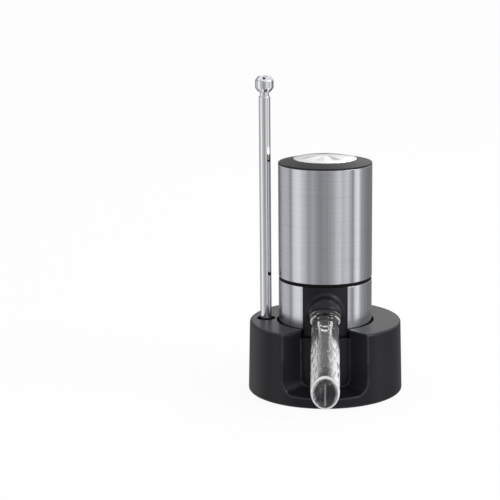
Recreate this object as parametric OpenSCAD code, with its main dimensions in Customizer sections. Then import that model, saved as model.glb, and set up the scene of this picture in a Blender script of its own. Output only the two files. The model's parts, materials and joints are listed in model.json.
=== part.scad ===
// Electric wine aerator with its storage base and telescopic draw tube.
// Millimetres, +Z up, spout towards -Y, origin on the table under the aerator's axis.

/* [Base] */
// Width of the base's rim round the recess
rim_w = 16.9; // [15:0.1:19]
// How much wider the base is at the table than at its top, on each side
base_flare = 1.1; // [0.4:0.1:2]
// Height of the base
base_h = 45; // [43:0.5:54]
// Wall of the base shell
base_wall = 2.4; // [1.8:0.1:2.8]
// Rounding of the outer edge at the top
base_top_round = 1.4; // [0.6:0.1:2]
// Rounding of the outer edge at the foot
base_foot_round = 1; // [0.4:0.1:1.6]
// Depth of the recess that takes the steel sleeve
recess_depth = 5.1; // [4:0.1:6.5]
// Height of the cup's floor above the table
cup_floor_h = 12; // [10:0.5:14]
// Thickness of the cup's floor
cup_floor_t = 2; // [1.4:0.1:2.6]
// Wall of the cup where it stands free in the scoop
cup_wall = 4.5; // [3.5:0.1:5]
// Clearance between the base and what is set down in it
seat_gap = 0.5; // [0.4:0.05:0.8]
// Clearance round the steel sleeve in the recess
recess_gap = 1.2; // [0.8:0.1:1.4]
// Thickness of the bottom cover
cover_t = 3.2; // [2.8:0.1:4]
// Margin of the bottom cover round the anti-slip pad
pad_margin = 3.6; // [2:0.1:4.4]
// Thickness of the anti-slip pad
pad_t = 2; // [1.6:0.1:2.4]
// Height of the pad that shows under the base
pad_proud = 0.8; // [0.4:0.1:1]

/* [Scoop] */
// Width of the scoop where it meets the cup's wall
throat_w = 29.3; // [26:0.1:32]
// Splay of the scoop's side walls
scoop_splay = 45; // [38:1:50]
// Height of the scoop's floor at the cup's wall
throat_floor_h = 9.9; // [8.5:0.1:12]
// Height of the scoop's floor at the front of the base
lip_floor_h = 6.9; // [6:0.1:8]
// Corner radius of the scoop at the cup's wall
throat_round = 5.5; // [3:0.1:8]
// Corner radius of the scoop at the front of the base
lip_round = 12; // [8:0.2:15]

/* [Draw tube] */
// Outside diameter of the fixed tube
tube_d = 7; // [6.4:0.1:7.4]
// Wall of the fixed tube
tube_wall = 0.4; // [0.3:0.05:0.5]
// Length of the fixed tube
tube_l = 178.4; // [160:0.2:200]
// Wall of the bush between the two tubes
bush_t = 0.2; // [0.15:0.05:0.4]
// Wall of the sliding tube
slider_wall = 0.4; // [0.3:0.05:0.5]
// How much shorter the sliding tube is than the fixed one
slider_short = 38.4; // [30:0.2:60]
// Bare length of the sliding tube that shows under the foot
slider_neck = 2.6; // [1.5:0.1:6]
// Diameter of the inlet foot
foot_d = 11.2; // [9.5:0.1:11.4]
// Height of the inlet foot
foot_h = 9.7; // [8:0.1:12]
// Diameter of the well in the base
well_d = 11.5; // [11.5:0.1:13]
// Web between the well and the recess
well_web = 1.15; // [0.8:0.05:1.6]
// Direction of the well seen from above
well_angle = 177; // [170:1:190]
// Height of the tube's end above the table
well_floor_h = 6; // [5:0.1:8]

/* [Pouring head] */
// Outside diameter of the steel sleeves
sleeve_d = 58; // [57:0.2:58.6]
// Thickness of the sleeves
sleeve_t = 0.6; // [0.4:0.05:0.8]
// Margin of the lower sleeve over the boss's root
boss_margin = 1.95; // [1:0.05:6]
// Half angle of the black front panel
panel_half_angle = 27.9; // [24:0.1:32]
// Wall of the head's housing
head_wall = 2; // [1.8:0.1:2.3]
// Height of the ring that stands on the base's ledge
seat_ring_h = 1; // [0.6:0.1:1.6]
// Set-back of the skirt round the bottle neck from the sleeve
skirt_inset = 2; // [1.6:0.1:3]
// Wall of the skirt
skirt_wall = 2; // [1.5:0.1:2.5]
// Depth of the skirt under the seat ring
skirt_depth = 14.9; // [12:0.1:18]
// Height of the deck over the seat ring
deck_lift = 4.1; // [3.4:0.1:5]
// Thickness of the deck
deck_t = 2.5; // [2:0.1:3]
// Diameter of the stopper at its root
stopper_root_d = 20; // [18.6:0.2:22]
// How much thinner the stopper is at its tip
stopper_taper = 2.8; // [1.4:0.1:3]
// Length of the stopper
stopper_l = 21; // [16:0.5:24]
// Depth of the socket for the draw tube
socket_depth = 14; // [10:0.5:15]

/* [Spout] */
// Diameter of the spout's boss
boss_d = 19.7; // [18.6:0.1:20.4]
// Slope of the spout below the horizontal
spout_slope = 45; // [42:1:48]
// Distance along the spout from the bend to the boss's end face
boss_end = 1.3; // [1:0.1:2.5]
// Diameter of the spout's collar
collar_d = 18.7; // [18:0.1:19.2]
// Length of the collar
collar_l = 3.4; // [2.5:0.1:5]
// Outside diameter of the spout behind the collar
spout_neck_d = 16; // [15.4:0.1:17]
// Outside diameter of the spout at its mouth
spout_mouth_d = 17.2; // [16.4:0.1:18.4]
// Distance along the spout from the bend to the mouth's middle
spout_reach = 53.8; // [50:0.2:56]
// Lean of the mouth's plane, face down
mouth_lean = 7; // [0:1:15]
// Bore of the spout's throat
throat_bore_d = 8; // [7:0.1:8.6]
// Bore of the spout at its mouth
mouth_bore_d = 12.2; // [11:0.1:13]
// Bore of the socket in the spout's collar
spout_socket_d = 10.3; // [10:0.1:11]
// Depth of that socket
spout_socket_depth = 9.9; // [9:0.1:12]

/* [Motor unit] */
// Height of the upper sleeve
unit_sleeve_h = 69.9; // [69.4:0.2:80]
// Height of the black seam ring
seam_h = 2.1; // [1.6:0.1:3]
// Set-back of the seam ring from the sleeves
seam_inset = 0.3; // [0:0.1:0.6]
// Wall of the chassis
chassis_wall = 1.8; // [1.4:0.1:2]
// Turn that frees the motor unit from the head
twist_angle = 30; // [25:1:34]
// Height of the pump
pump_h = 22; // [18:0.5:24]
// Diameter of the motor
motor_d = 24; // [20:0.2:25]

/* [Top button] */
// Width of the cap's sloping face
cap_face_w = 8.95; // [8:0.05:10.5]
// Rise of the dome
dome_rise = 2; // [1.4:0.1:2.6]
// Height of the cap's side
cap_side_h = 1; // [0.6:0.1:1.6]
// Rise of the cap's sloping face
cap_rise = 2.1; // [1.9:0.1:2.6]
// Travel of the button
button_travel = 1.2; // [0.8:0.1:1.3]

/* [Hidden] */
$fn = 96;

cut = 1;                 // overrun of every cut
skin = 0.01;             // thickness of the slabs that a hull is stretched over
slide_gap = 0.1;         // clearance of pieces pushed into one another
run_gap = 0.25;          // clearance of pieces that move past one another

// Radii of the base
sleeve_r = sleeve_d / 2;
skirt_r = sleeve_r - skirt_inset;
recess_r = sleeve_r + recess_gap;
base_top_r = recess_r + rim_w;
base_bottom_r = base_top_r + base_flare;
cup_bore_r = skirt_r + seat_gap;
cup_outer_r = cup_bore_r + cup_wall;
ledge_z = base_h - recess_depth;
cover_r = base_bottom_r - base_wall - slide_gap * 2;
cover_top_z = pad_proud + cover_t;
pad_r = cover_r - pad_margin;
cup_under_z = cup_floor_h - cup_floor_t;
liner_foot_wall = 2;
liner_collar_wall = 2;
liner_collar_z = 30;

// Scoop, as a loft between the cup's wall and the front of the base
throat_y = sqrt(pow(cup_outer_r, 2) - pow(throat_w / 2, 2));
lip_y = base_bottom_r + cut;
loft_run = lip_y - throat_y;
lip_half_w = throat_w / 2 + loft_run * tan(scoop_splay);
scoop_head = cut * 12;

// Screws of the base
screw_angles = [40, 140, 215, 325];
screw_margin = 7.1;
screw_place_r = cover_r - screw_margin;
screw_boss_r = 3;
screw_r = 1.3;
screw_head_r = 2.3;
screw_head_h = 1;
screw_l = 9;
screw_slot_w = 0.7;

// Well of the tube
well_r = well_d / 2;
tube_r = tube_d / 2;
well_wall = 2;
well_guide_h = 4;        // height of the close bore that centres the tube's end
well_taper_h = 4;
well_place_r = recess_r + well_web + well_r;
well_x = well_place_r * cos(well_angle);
well_y = well_place_r * sin(well_angle);

// Sliding tube and its foot
tube_bore_r = tube_r - tube_wall;
slider_r = tube_bore_r - bush_t - slide_gap;
slider_l = tube_l - slider_short;
tube_lip_h = 1.2;        // height of the rolled lip
tube_top_z = well_floor_h + tube_l;
foot_z = tube_top_z + slider_neck;
foot_r = foot_d / 2;
foot_chamfer_h = 2.4;
foot_root_r = slider_r + 0.3 * slider_r;
foot_crown_r = 3.6;
foot_dish_r = 2.9;
foot_dish_depth = 1.3;
foot_socket_depth = 4;
foot_slot_w = 1.5;
foot_slot_depth = 1.6;
foot_slot_count = 3;
foot_slot_angle = 270;
bush_l = 8;

// Pouring head, measured up from the ring that stands on the ledge
head_z = ledge_z;
housing_r = sleeve_r - sleeve_t - slide_gap;
housing_bore_r = housing_r - head_wall;
panel_set_back = 0.2;
panel_r = sleeve_r - panel_set_back;
panel_gap_angle = 0.35;
seat_ring_r = sleeve_r - seat_gap;
skirt_bore_r = skirt_r - skirt_wall;
deck_top = deck_lift + deck_t;

// Boss of the spout, over the fitting and its hose
boss_r = boss_d / 2;
flange_t = 1.2;
barb_h = 3;
hose_bend_r = 5.8;
boss_lift = deck_top + flange_t + barb_h + hose_bend_r;
root_fillet = 3;         // fillet between the boss and the panel
root_edge = 0.12;        // height at which the fillet's two edges stand proud
root_sides = 40;
root_steps = 6;
housing_top = boss_lift + boss_r + root_fillet + boss_margin;

// Bayonet between head and motor unit
lug_count = 3;
lug_half_angle = 11;
lug_first_angle = 90;
spigot_wall = 1.8;
spigot_depth = 5.3;      // below the head's top edge
spigot_r = housing_bore_r - 2 * slide_gap;
lug_reach = 0.9;
lug_h = 1.8;
lug_drop = 4.7;          // top of the lugs' underside below the head's top edge
groove_r = spigot_r + lug_reach + 2 * slide_gap;
entry_half_angle = lug_half_angle + 2;

// Inlet fitting, grommet and stopper
grommet_wall = 1.2;
stem_wall = 0.55;
socket_r = tube_r + slide_gap / 2;
grommet_r = socket_r + grommet_wall;
stem_r = grommet_r + stem_wall;
flange_reach = 4.1;
flange_r = stem_r + flange_reach;
barb_wall = 0.8;
barb_bore_r = 1.6;
barb_r = barb_bore_r + barb_wall;
stopper_rib_count = 4;
stopper_rib_reach = 0.5;
stopper_flange_reach = 2;
stopper_root_r = stopper_root_d / 2;
stopper_tip_r = stopper_root_r - stopper_taper / 2;
stopper_flange_r = stopper_root_r + stopper_flange_reach;
stopper_flange_t = 1.8;
stem_bottom = deck_lift - stopper_flange_t - stopper_l - 1.5 * stopper_rib_reach;

// Air duct, in the stopper's wall and on up to the motor unit
air_angle = -31;
air_room = stopper_tip_r - stopper_rib_reach - stem_r - slide_gap;
air_r_share = 0.22;
air_r = air_room * air_r_share;
air_place_r = stem_r + slide_gap + air_room / 2;
air_x = air_place_r * cos(air_angle);
air_y = air_place_r * sin(air_angle);
duct_bore_r = air_r + 2 * slide_gap;
duct_wall = 1.2;
duct_r = duct_bore_r + duct_wall;
duct_top_drop = 2.4;     // below the head's top edge
seal_wall = 1.1;
seal_cover = 2;

// Hose between fitting and nozzle
hose_wall = 1.1;
hose_bore_r = barb_r + slide_gap / 2;
hose_r = hose_bore_r + hose_wall;

// Nozzle and spout
nozzle_back = 17;        // length of the nozzle's stem behind the bend
nozzle_bore_r = barb_bore_r;
nozzle_stem_r = barb_r;
ring_wire_r = 0.9;
ring_place = 4.4;        // along the spout from the bend
ring_reach = spout_socket_d / 2 - slide_gap / 2;
ring_seat_r = ring_reach - 2 * ring_wire_r;
ring_lip = 0.4;
nozzle_r = ring_seat_r + ring_lip;
nozzle_tip_r = ring_seat_r - ring_lip / 2;
nozzle_past_ring = 3.6;
nozzle_reach = ring_place + nozzle_past_ring;
collar_r = collar_d / 2;
collar_gap = 0.3;
spout_start = boss_end + collar_gap;
collar_clear = 0.52;     // between the collar's back and the panel
bend_reach = panel_r + collar_r * sin(spout_slope) - spout_start * cos(spout_slope) + collar_clear;
throat_l = 1.6;
flare_l = 15;            // length of the throat's first, quicker flare
flare_share = 0.62;      // share of the bore's widening that the first flare takes
collar_round = 0.6;

// Motor unit, measured up from the seam
unit_z = head_z + housing_top + seam_h;
chassis_r = housing_r;
chassis_bore_r = chassis_r - chassis_wall;
floor_gap = 0.2;
floor_t = 2.4;
floor_top = floor_gap + floor_t;
rest_gap = 0.3;          // between stacked inner pieces
chassis_h = unit_sleeve_h - rest_gap;
pump_share = 0.502;      // of the chassis' bore
cell_share = 0.343;
pump_r = chassis_bore_r * pump_share;
cell_r = chassis_bore_r * cell_share;
pump_back = 2.2;         // between the pump and the chassis
pump_y = pump_r + pump_back - chassis_bore_r;
pump_z = floor_top + rest_gap;
pump_plate_h = 5;
pump_waist = 0.8;
motor_end_h = 2;
motor_end_r = 4;
frame_drop = 14.4;       // frame's underside below the sleeve's top
frame_z = unit_sleeve_h - frame_drop;
frame_t = 2.2;
frame_gap = 0.3;
frame_r = chassis_bore_r - frame_gap;
motor_h = frame_z - pump_z - pump_h;
shaft_r = 1;
shaft_l = 12;
cell_headroom = 2.6;     // from the cell to the frame
cell_h = frame_z - pump_z - cell_headroom;
cell_button_r = 2.7;
cell_button_h = 1;
cell_post_r = 4;
post_r = 2.4;
post_h = 1.5;
board_margin = 2.6;
board_r = frame_r - board_margin;
post_margin = 3.6;
post_place_r = board_r - post_margin;
post_angles = [45, 135, 225, 315];
board_t = 1.6;
board_z = frame_z + frame_t + post_h;
pilot_r = 0.8;
small_screw_r = 0.75;
small_screw_head_r = 1.7;
small_screw_head_h = 0.9;
small_screw_l = 5;
switch_w = 6;
switch_h = 2.6;
switch_knob_r = 1.7;
switch_knob_h = 0.8;
rib_w = 1.6;
rib_in = 2.2;

// USB connector and lamp at the back
usb_z = 10.6;
usb_w = 9;
usb_h = 3.2;
usb_depth = 6.4;
usb_wall = 0.35;
usb_tongue_w = 6.6;
usb_tongue_h = 0.7;
usb_tongue_short = 1.2;
usb_set_back = 0.5;
cell_y = sleeve_r - usb_set_back - usb_depth - 2 * slide_gap - cell_r;
usb_clear = 0.3;
charge_board_w = 12;
charge_board_t = 1;
shelf_t = 1.4;
shelf_w = 8;
led_r = 1;
led_lift = 5.6;
led_l = 3;

// Cap and button
cap_z = unit_sleeve_h;
cap_edge_r = sleeve_r - slide_gap;
cap_edge_round = 0.5;
cap_open_r = cap_edge_r - cap_face_w;
dome_r = cap_open_r - run_gap;
cap_crown = cap_side_h + cap_rise;
cap_skirt_wall = 1.5;
cap_skirt_h = 6;
cap_skirt_r = chassis_bore_r - slide_gap;
lip_reach = 1.3;
lip_t = 1;
lip_drop = 2.5;          // top of the inner lip below the crown
lip_r = cap_open_r - lip_reach;
carrier_skirt_r = lip_r - run_gap;
carrier_wall = 1.4;
carrier_top_t = 0.8;
carrier_clear = 0.1;
hook_count = 3;
hook_half_angle = 12;
hook_reach = 0.9;
hook_h = 1.2;
dome_lift = 0.1;         // dome's edge above the cap's crown
dome_rim_h = 0.5;
dome_t = 0.8;
plunger_r = 2.6;
spring_wire_r = 0.4;
spring_r = 7;
spring_turns = 4;
spring_steps = 12;       // rings in each turn
spring_sides = 6;

lip_top = cap_z + cap_crown - lip_drop;
carrier_top = cap_z + cap_crown + dome_lift - dome_rim_h;
carrier_under = lip_top - lip_t - carrier_clear;
knob_top = board_z + board_t + switch_h + switch_knob_h;
plunger_bottom = knob_top + button_travel + carrier_clear;

module ring(outer, inner, z0, z1) {
    translate([0, 0, z0]) difference() {
        cylinder(r = outer, h = z1 - z0);
        translate([0, 0, -cut]) cylinder(r = inner, h = z1 - z0 + 2 * cut);
    }
}

module disc(r, z0, z1) {
    translate([0, 0, z0]) cylinder(r = r, h = z1 - z0);
}

// A ring's sector between two angles
module sector(outer, inner, a0, a1, z0, z1) {
    translate([0, 0, z0]) rotate([0, 0, a0]) rotate_extrude(angle = a1 - a0)
        translate([inner, 0]) square([outer - inner, z1 - z0]);
}

// Base

module base_form() {
    foot = pad_proud;
    rt = base_top_round;
    rf = base_foot_round;
    rotate_extrude() {
        polygon([
            [0, foot], [base_bottom_r - rf, foot],
            for (a = [0 : 15 : 90]) [base_bottom_r - rf + rf * sin(a), foot + rf - rf * cos(a)],
            for (a = [0 : 15 : 90]) [base_top_r - rt + rt * cos(a), base_h - rt + rt * sin(a)],
            [0, base_h],
        ]);
    }
}

module base_cavity() {
    rotate_extrude() polygon([
        [0, -cut], [base_bottom_r - base_wall, -cut],
        [base_bottom_r - base_wall, pad_proud],
        [base_top_r - base_wall, base_h - base_wall], [0, base_h - base_wall],
    ]);
}

// One end of the scoop: a slab with two round lower corners
module scoop_slab(y, half_w, floor_h, r) {
    for (side = [-1, 1])
        translate([side * (half_w - r), -y, floor_h + r]) rotate([90, 0, 0])
            cylinder(r = r, h = skin, $fn = 48);
    translate([-half_w, -y - skin, floor_h + r])
        cube([2 * half_w, skin, base_h + scoop_head - floor_h - r]);
}

module scoop_loft(grow) {
    slope = (throat_floor_h - lip_floor_h) / (base_bottom_r - throat_y);
    spread = (lip_round - throat_round) / (base_bottom_r - throat_y);
    hull() {
        scoop_slab(throat_y, throat_w / 2 + grow, throat_floor_h - grow, throat_round + grow);
        scoop_slab(lip_y, lip_half_w + grow, throat_floor_h - slope * loft_run - grow,
            throat_round + spread * loft_run + grow);
    }
}

module base_shell() {
    color([0.13, 0.135, 0.145]) difference() {
        union() {
            difference() {
                base_form();
                base_cavity();
            }
            disc(cup_outer_r + slide_gap + liner_collar_wall, liner_collar_z, base_h - base_top_round);
            intersection() {
                base_form();
                scoop_loft(base_wall);
            }
            intersection() {
                base_form();
                translate([well_x, well_y, 0])
                    disc(well_r + well_wall, cover_top_z, base_h - base_top_round);
            }
            for (a = screw_angles) rotate([0, 0, a]) translate([screw_place_r, 0, 0])
                disc(screw_boss_r, cover_top_z, base_h - base_top_round);
        }
        disc(recess_r, ledge_z, base_h + cut);
        disc(cup_outer_r + slide_gap, cup_under_z - slide_gap, ledge_z + slide_gap);
        difference() {
            scoop_loft(0);
            disc(cup_outer_r, 0, cup_under_z);
        }
        translate([-throat_w / 2, -throat_y - skin, ledge_z])
            cube([throat_w, throat_y - recess_r / 2, recess_depth + cut]);
        translate([well_x, well_y, 0]) {
            guide_r = tube_r + 2 * slide_gap;
            guide_top = well_floor_h + well_guide_h;
            disc(guide_r, well_floor_h, base_h);
            translate([0, 0, guide_top]) cylinder(r1 = guide_r, r2 = well_r, h = well_taper_h);
            disc(well_r, guide_top + well_taper_h, base_h + cut);
        }
        for (a = screw_angles) rotate([0, 0, a]) translate([screw_place_r, 0, 0])
            disc(screw_r - slide_gap, 0, cover_top_z + screw_l);
    }
}

// Cup that the aerator's skirt hangs in, held between the shell and the cover
module cup_liner() {
    foot_z0 = cover_top_z + slide_gap / 2;
    color([0.13, 0.135, 0.145]) difference() {
        rotate_extrude() polygon([
            [0, cup_under_z], [cup_bore_r - liner_foot_wall, cup_under_z],
            [cup_bore_r - liner_foot_wall, foot_z0], [cup_bore_r, foot_z0],
            [cup_bore_r, cup_under_z], [cup_outer_r, cup_under_z], [cup_outer_r, ledge_z],
            [cup_bore_r, ledge_z], [cup_bore_r, cup_floor_h], [0, cup_floor_h],
        ]);
        translate([well_x, well_y, 0]) disc(well_r + slide_gap, 0, base_h);
    }
}

module base_cover() {
    color([0.1, 0.1, 0.11]) difference() {
        disc(cover_r, pad_proud, cover_top_z);
        disc(pad_r + slide_gap, 0, pad_t);
        for (a = screw_angles) rotate([0, 0, a]) translate([screw_place_r, 0, 0]) {
            disc(screw_r + slide_gap, 0, cover_top_z + cut);
            disc(screw_head_r + slide_gap, 0, pad_t + screw_head_h + slide_gap);
        }
    }
}

module base_pad() {
    color([0.06, 0.06, 0.065]) disc(pad_r, 0, pad_t);
}

module base_screws() {
    color([0.6, 0.6, 0.62]) for (a = screw_angles)
        rotate([0, 0, a]) translate([screw_place_r, 0, pad_t + slide_gap / 2]) difference() {
            union() {
                cylinder(r = screw_head_r, h = screw_head_h);
                cylinder(r = screw_r - 2 * slide_gap, h = screw_l);
            }
            for (turn = [0, 90]) rotate([0, 0, turn])
                translate([-screw_head_r * 0.6, -screw_slot_w / 2, -cut])
                    cube([screw_head_r * 1.2, screw_slot_w, cut + screw_head_h / 2]);
        }
}

// Draw tube, standing in its well

module in_well() {
    translate([well_x, well_y, 0]) children();
}

module draw_tube() {
    lip_r = slider_r + slide_gap;
    color([0.75, 0.76, 0.78]) in_well() rotate_extrude() polygon([
        [tube_bore_r, well_floor_h], [tube_r, well_floor_h],
        [tube_r, tube_top_z - tube_lip_h],
        for (a = [15 : 15 : 75]) [
            lip_r + slide_gap + (tube_r - lip_r - slide_gap) * cos(a),
            tube_top_z - tube_lip_h + tube_lip_h * sin(a)
        ],
        [lip_r + slide_gap, tube_top_z], [lip_r, tube_top_z],
        [lip_r, tube_top_z - tube_lip_h / 2], [tube_bore_r, tube_top_z - tube_lip_h],
    ]);
}

module tube_bush() {
    color([0.85, 0.85, 0.83]) in_well()
        ring(tube_bore_r - slide_gap / 2, slider_r + slide_gap / 2,
            tube_top_z - tube_lip_h - bush_l, tube_top_z - tube_lip_h - slide_gap);
}

module sliding_tube() {
    color([0.78, 0.79, 0.8]) in_well()
        ring(slider_r, slider_r - slider_wall, foot_z + foot_socket_depth - slider_l,
            foot_z + foot_socket_depth);
}

module inlet_foot() {
    bore_r = slider_r - slider_wall;
    chamfer_z = foot_z + foot_chamfer_h;
    top_z = foot_z + foot_h;
    color([0.82, 0.83, 0.84]) in_well() difference() {
        rotate_extrude() polygon([
            [slider_r + slide_gap / 2, foot_z], [foot_root_r, foot_z],
            [foot_r, chamfer_z], [foot_r, top_z - foot_chamfer_h],
            [foot_crown_r, top_z], [foot_dish_r, top_z],
            [bore_r, top_z - foot_dish_depth], [bore_r, foot_z + foot_socket_depth + slide_gap],
            [slider_r + slide_gap / 2, foot_z + foot_socket_depth + slide_gap],
        ]);
        for (i = [0 : foot_slot_count - 1])
            rotate([0, 0, foot_slot_angle + i * 360 / foot_slot_count])
                translate([0, -foot_slot_w / 2, top_z - foot_slot_depth])
                    cube([foot_r + cut, foot_slot_w, foot_slot_depth + cut]);
    }
}

// Pouring head

module on_ledge() {
    translate([0, 0, head_z]) children();
}

// Frame of the spout: z runs along the spout from the bend
module along_spout() {
    translate([0, -bend_reach, boss_lift]) rotate([90 + spout_slope, 0, 0]) children();
}

// Fillet that runs round the boss's root and follows the panel's curve
module root_flare() {
    under_r = boss_r - root_fillet / 2;
    profile = [
        for (i = [0 : root_steps])
            let (a = 90 * i / root_steps)
            [boss_r + root_edge + root_fillet * (1 - cos(a)), root_edge + root_fillet * (1 - sin(a))],
        [boss_r + root_edge + root_fillet, -head_wall / 2],
        [under_r, -head_wall / 2], [under_r, root_fillet + root_edge],
    ];
    m = len(profile);
    points = [
        for (i = [0 : root_sides - 1], j = [0 : m - 1])
            let (
                a = 360 * i / root_sides,
                x = profile[j][0] * cos(a),
                z = profile[j][0] * sin(a)
            )
            [x, -sqrt(pow(panel_r, 2) - pow(x, 2)) - profile[j][1], boss_lift + z]
    ];
    faces = [
        for (i = [0 : root_sides - 1], j = [0 : m - 1], half = [0, 1])
            let (
                i2 = (i + 1) % root_sides,
                j2 = (j + 1) % m
            )
            half == 0
                ? [i * m + j, i2 * m + j, i2 * m + j2]
                : [i * m + j, i2 * m + j2, i * m + j2]
    ];
    polyhedron(points = points, faces = faces, convexity = 8);
}

// Rod along z with a rounded rear end
module round_rod(r, l) {
    rotate_extrude() polygon([
        for (a = [0 : 15 : 90]) [r * sin(a), -r * cos(a)],
        [r, l], [0, l],
    ]);
}

module boss_form() {
    difference() {
        translate([0, -housing_bore_r, boss_lift]) rotate([90, 0, 0]) rotate_extrude() polygon([
            [0, 0], [boss_r, 0],
            for (a = [0 : 15 : 90])
                [boss_r * cos(a), bend_reach - housing_bore_r + boss_r * sin(a)],
        ]);
        along_spout() translate([0, 0, boss_end]) cylinder(r = 2 * boss_r, h = 2 * boss_r);
    }
}

module housing_form() {
    rotate_extrude() polygon([
        [skirt_r, 0], [seat_ring_r, 0], [seat_ring_r, seat_ring_h], [housing_r, seat_ring_h],
        [housing_r, housing_top], [housing_bore_r, housing_top], [housing_bore_r, deck_top],
        [skirt_r, deck_top],
    ]);
}

module head_housing() {
    groove_top = housing_top - lug_drop + lug_h + slide_gap;
    groove_bottom = housing_top - lug_drop - slide_gap;
    color([0.12, 0.12, 0.13]) on_ledge() difference() {
        union() {
            housing_form();
            sector(panel_r, (skirt_r + housing_r) / 2, 270 - panel_half_angle,
                270 + panel_half_angle, seat_ring_h, housing_top);
            difference() {
                boss_form();
                disc(housing_bore_r + slide_gap, 0, housing_top);
            }
            root_flare();
        }
        ring(groove_r, housing_bore_r - cut, groove_bottom, groove_top);
        for (i = [0 : lug_count - 1]) {
            middle = lug_first_angle + i * 360 / lug_count + twist_angle;
            sector(groove_r - slide_gap / 2, housing_bore_r - cut, middle - entry_half_angle,
                middle + entry_half_angle, groove_bottom + slide_gap, housing_top + cut);
        }
        translate([0, -bend_reach, boss_lift]) rotate([-90, 0, 0])
            cylinder(r = nozzle_stem_r + slide_gap, h = nozzle_back);
        along_spout() round_rod(nozzle_r + slide_gap, boss_r);
        along_spout() disc(collar_r + run_gap, (boss_end + spout_start) / 2, 2 * collar_r);
    }
}

// Deck with the air duct, and the skirt that goes round the bottle's neck
module neck_guide() {
    outer = skirt_r - slide_gap / 2;
    color([0.12, 0.12, 0.13]) on_ledge() difference() {
        union() {
            rotate_extrude() polygon([
                [skirt_bore_r, -skirt_depth], [outer, -skirt_depth], [outer, deck_top],
                [0, deck_top], [0, deck_lift], [skirt_bore_r, deck_lift],
            ]);
            translate([air_x, air_y, 0])
                disc(duct_r, deck_lift + deck_t / 2, housing_top - duct_top_drop);
        }
        disc(stem_r + slide_gap, deck_lift - cut, deck_top + cut + deck_t);
        translate([air_x, air_y, 0]) disc(duct_bore_r, 0, housing_top);
    }
}

module head_sleeve() {
    half = panel_half_angle + panel_gap_angle;
    color([0.72, 0.73, 0.75]) on_ledge()
        sector(sleeve_r, sleeve_r - sleeve_t, 270 + half, 630 - half, seat_ring_h, housing_top);
}

module bottle_stopper() {
    pitch = stopper_l / stopper_rib_count;
    bore = stem_r + slide_gap;
    top = deck_lift - slide_gap;
    color([0.2, 0.2, 0.21]) on_ledge() difference() {
        translate([0, 0, top]) rotate_extrude() polygon([
            [bore, 0], [stopper_flange_r, 0], [stopper_flange_r, -stopper_flange_t],
            for (i = [0 : stopper_rib_count - 1], end = [0, 1])
                let (
                    at = (i + end * 0.98) / stopper_rib_count,
                    r = stopper_root_r + (stopper_tip_r - stopper_root_r) * at
                )
                [r - end * stopper_rib_reach, -stopper_flange_t - i * pitch - end * 0.98 * pitch],
            [stopper_tip_r - stopper_rib_reach, -stopper_flange_t - stopper_l],
            [bore, -stopper_flange_t - stopper_l],
        ]);
        translate([air_x, air_y, top - stopper_l - stopper_flange_t - cut])
            cylinder(r = air_r, h = stopper_l + stopper_flange_t + 2 * cut);
    }
}

module inlet_fitting() {
    color([0.86, 0.86, 0.84]) on_ledge() difference() {
        union() {
            disc(stem_r, stem_bottom, deck_top + slide_gap);
            disc(flange_r, deck_top, deck_top + flange_t);
            disc(barb_r, deck_top, deck_top + flange_t + barb_h);
        }
        disc(grommet_r + slide_gap / 2, stem_bottom - cut, stem_bottom + socket_depth);
        disc(barb_bore_r, stem_bottom, deck_top + flange_t + barb_h + cut);
        translate([air_x, air_y, 0]) disc(duct_r + slide_gap, deck_lift, deck_top + flange_t + cut);
    }
}

module inlet_grommet() {
    color([0.25, 0.25, 0.26]) on_ledge()
        ring(grommet_r, socket_r, stem_bottom, stem_bottom + socket_depth);
}

module wine_hose() {
    start = deck_top + flange_t + slide_gap;
    bend_z = boss_lift - hose_bend_r;
    reach = bend_reach - nozzle_back + 4 * hose_wall;
    color([0.8, 0.82, 0.82, 0.7]) on_ledge() {
        difference() {
            union() {
                disc(hose_r, start, bend_z);
                translate([0, -hose_bend_r, bend_z]) rotate([90, 0, 90])
                    rotate_extrude(angle = 90) translate([hose_bend_r, 0]) circle(r = hose_r);
                translate([0, -hose_bend_r, boss_lift]) rotate([90, 0, 0])
                    cylinder(r = hose_r, h = reach - hose_bend_r);
            }
            disc(hose_bore_r, start - cut, bend_z);
            translate([0, -hose_bend_r, bend_z]) rotate([90, 0, 90])
                rotate_extrude(angle = 90) translate([hose_bend_r, 0]) circle(r = hose_bore_r);
            translate([0, -hose_bend_r, boss_lift]) rotate([90, 0, 0])
                cylinder(r = hose_bore_r, h = reach);
        }
    }
}

module spout_nozzle() {
    color([0.09, 0.09, 0.1]) on_ledge() difference() {
        union() {
            translate([0, -bend_reach, boss_lift]) rotate([-90, 0, 0])
                cylinder(r = nozzle_stem_r, h = nozzle_back);
            along_spout() {
                round_rod(nozzle_r, ring_place + 2 * ring_wire_r);
                cylinder(r = nozzle_tip_r, h = nozzle_reach);
            }
        }
        translate([0, -bend_reach, boss_lift]) {
            sphere(r = nozzle_bore_r);
            rotate([-90, 0, 0]) cylinder(r = nozzle_bore_r, h = nozzle_back + cut);
        }
        along_spout() {
            cylinder(r = nozzle_bore_r, h = nozzle_reach + cut);
            ring(2 * nozzle_r, ring_seat_r, ring_place - ring_wire_r, ring_place + ring_wire_r);
        }
    }
}

module spout_o_ring() {
    color([0.07, 0.07, 0.07]) on_ledge() along_spout() translate([0, 0, ring_place])
        rotate_extrude() translate([ring_reach - ring_wire_r, 0]) circle(r = ring_wire_r);
}

module air_port_seal() {
    duct_top = housing_top - duct_top_drop;
    color([0.2, 0.2, 0.2]) on_ledge() translate([air_x, air_y, 0]) difference() {
        disc(duct_r + seal_wall, duct_top - seal_cover, housing_top + seam_h - slide_gap);
        disc(duct_r + slide_gap / 2, duct_top - seal_cover - cut, duct_top);
        disc(duct_bore_r, 0, housing_top + seam_h + cut);
    }
}

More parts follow.
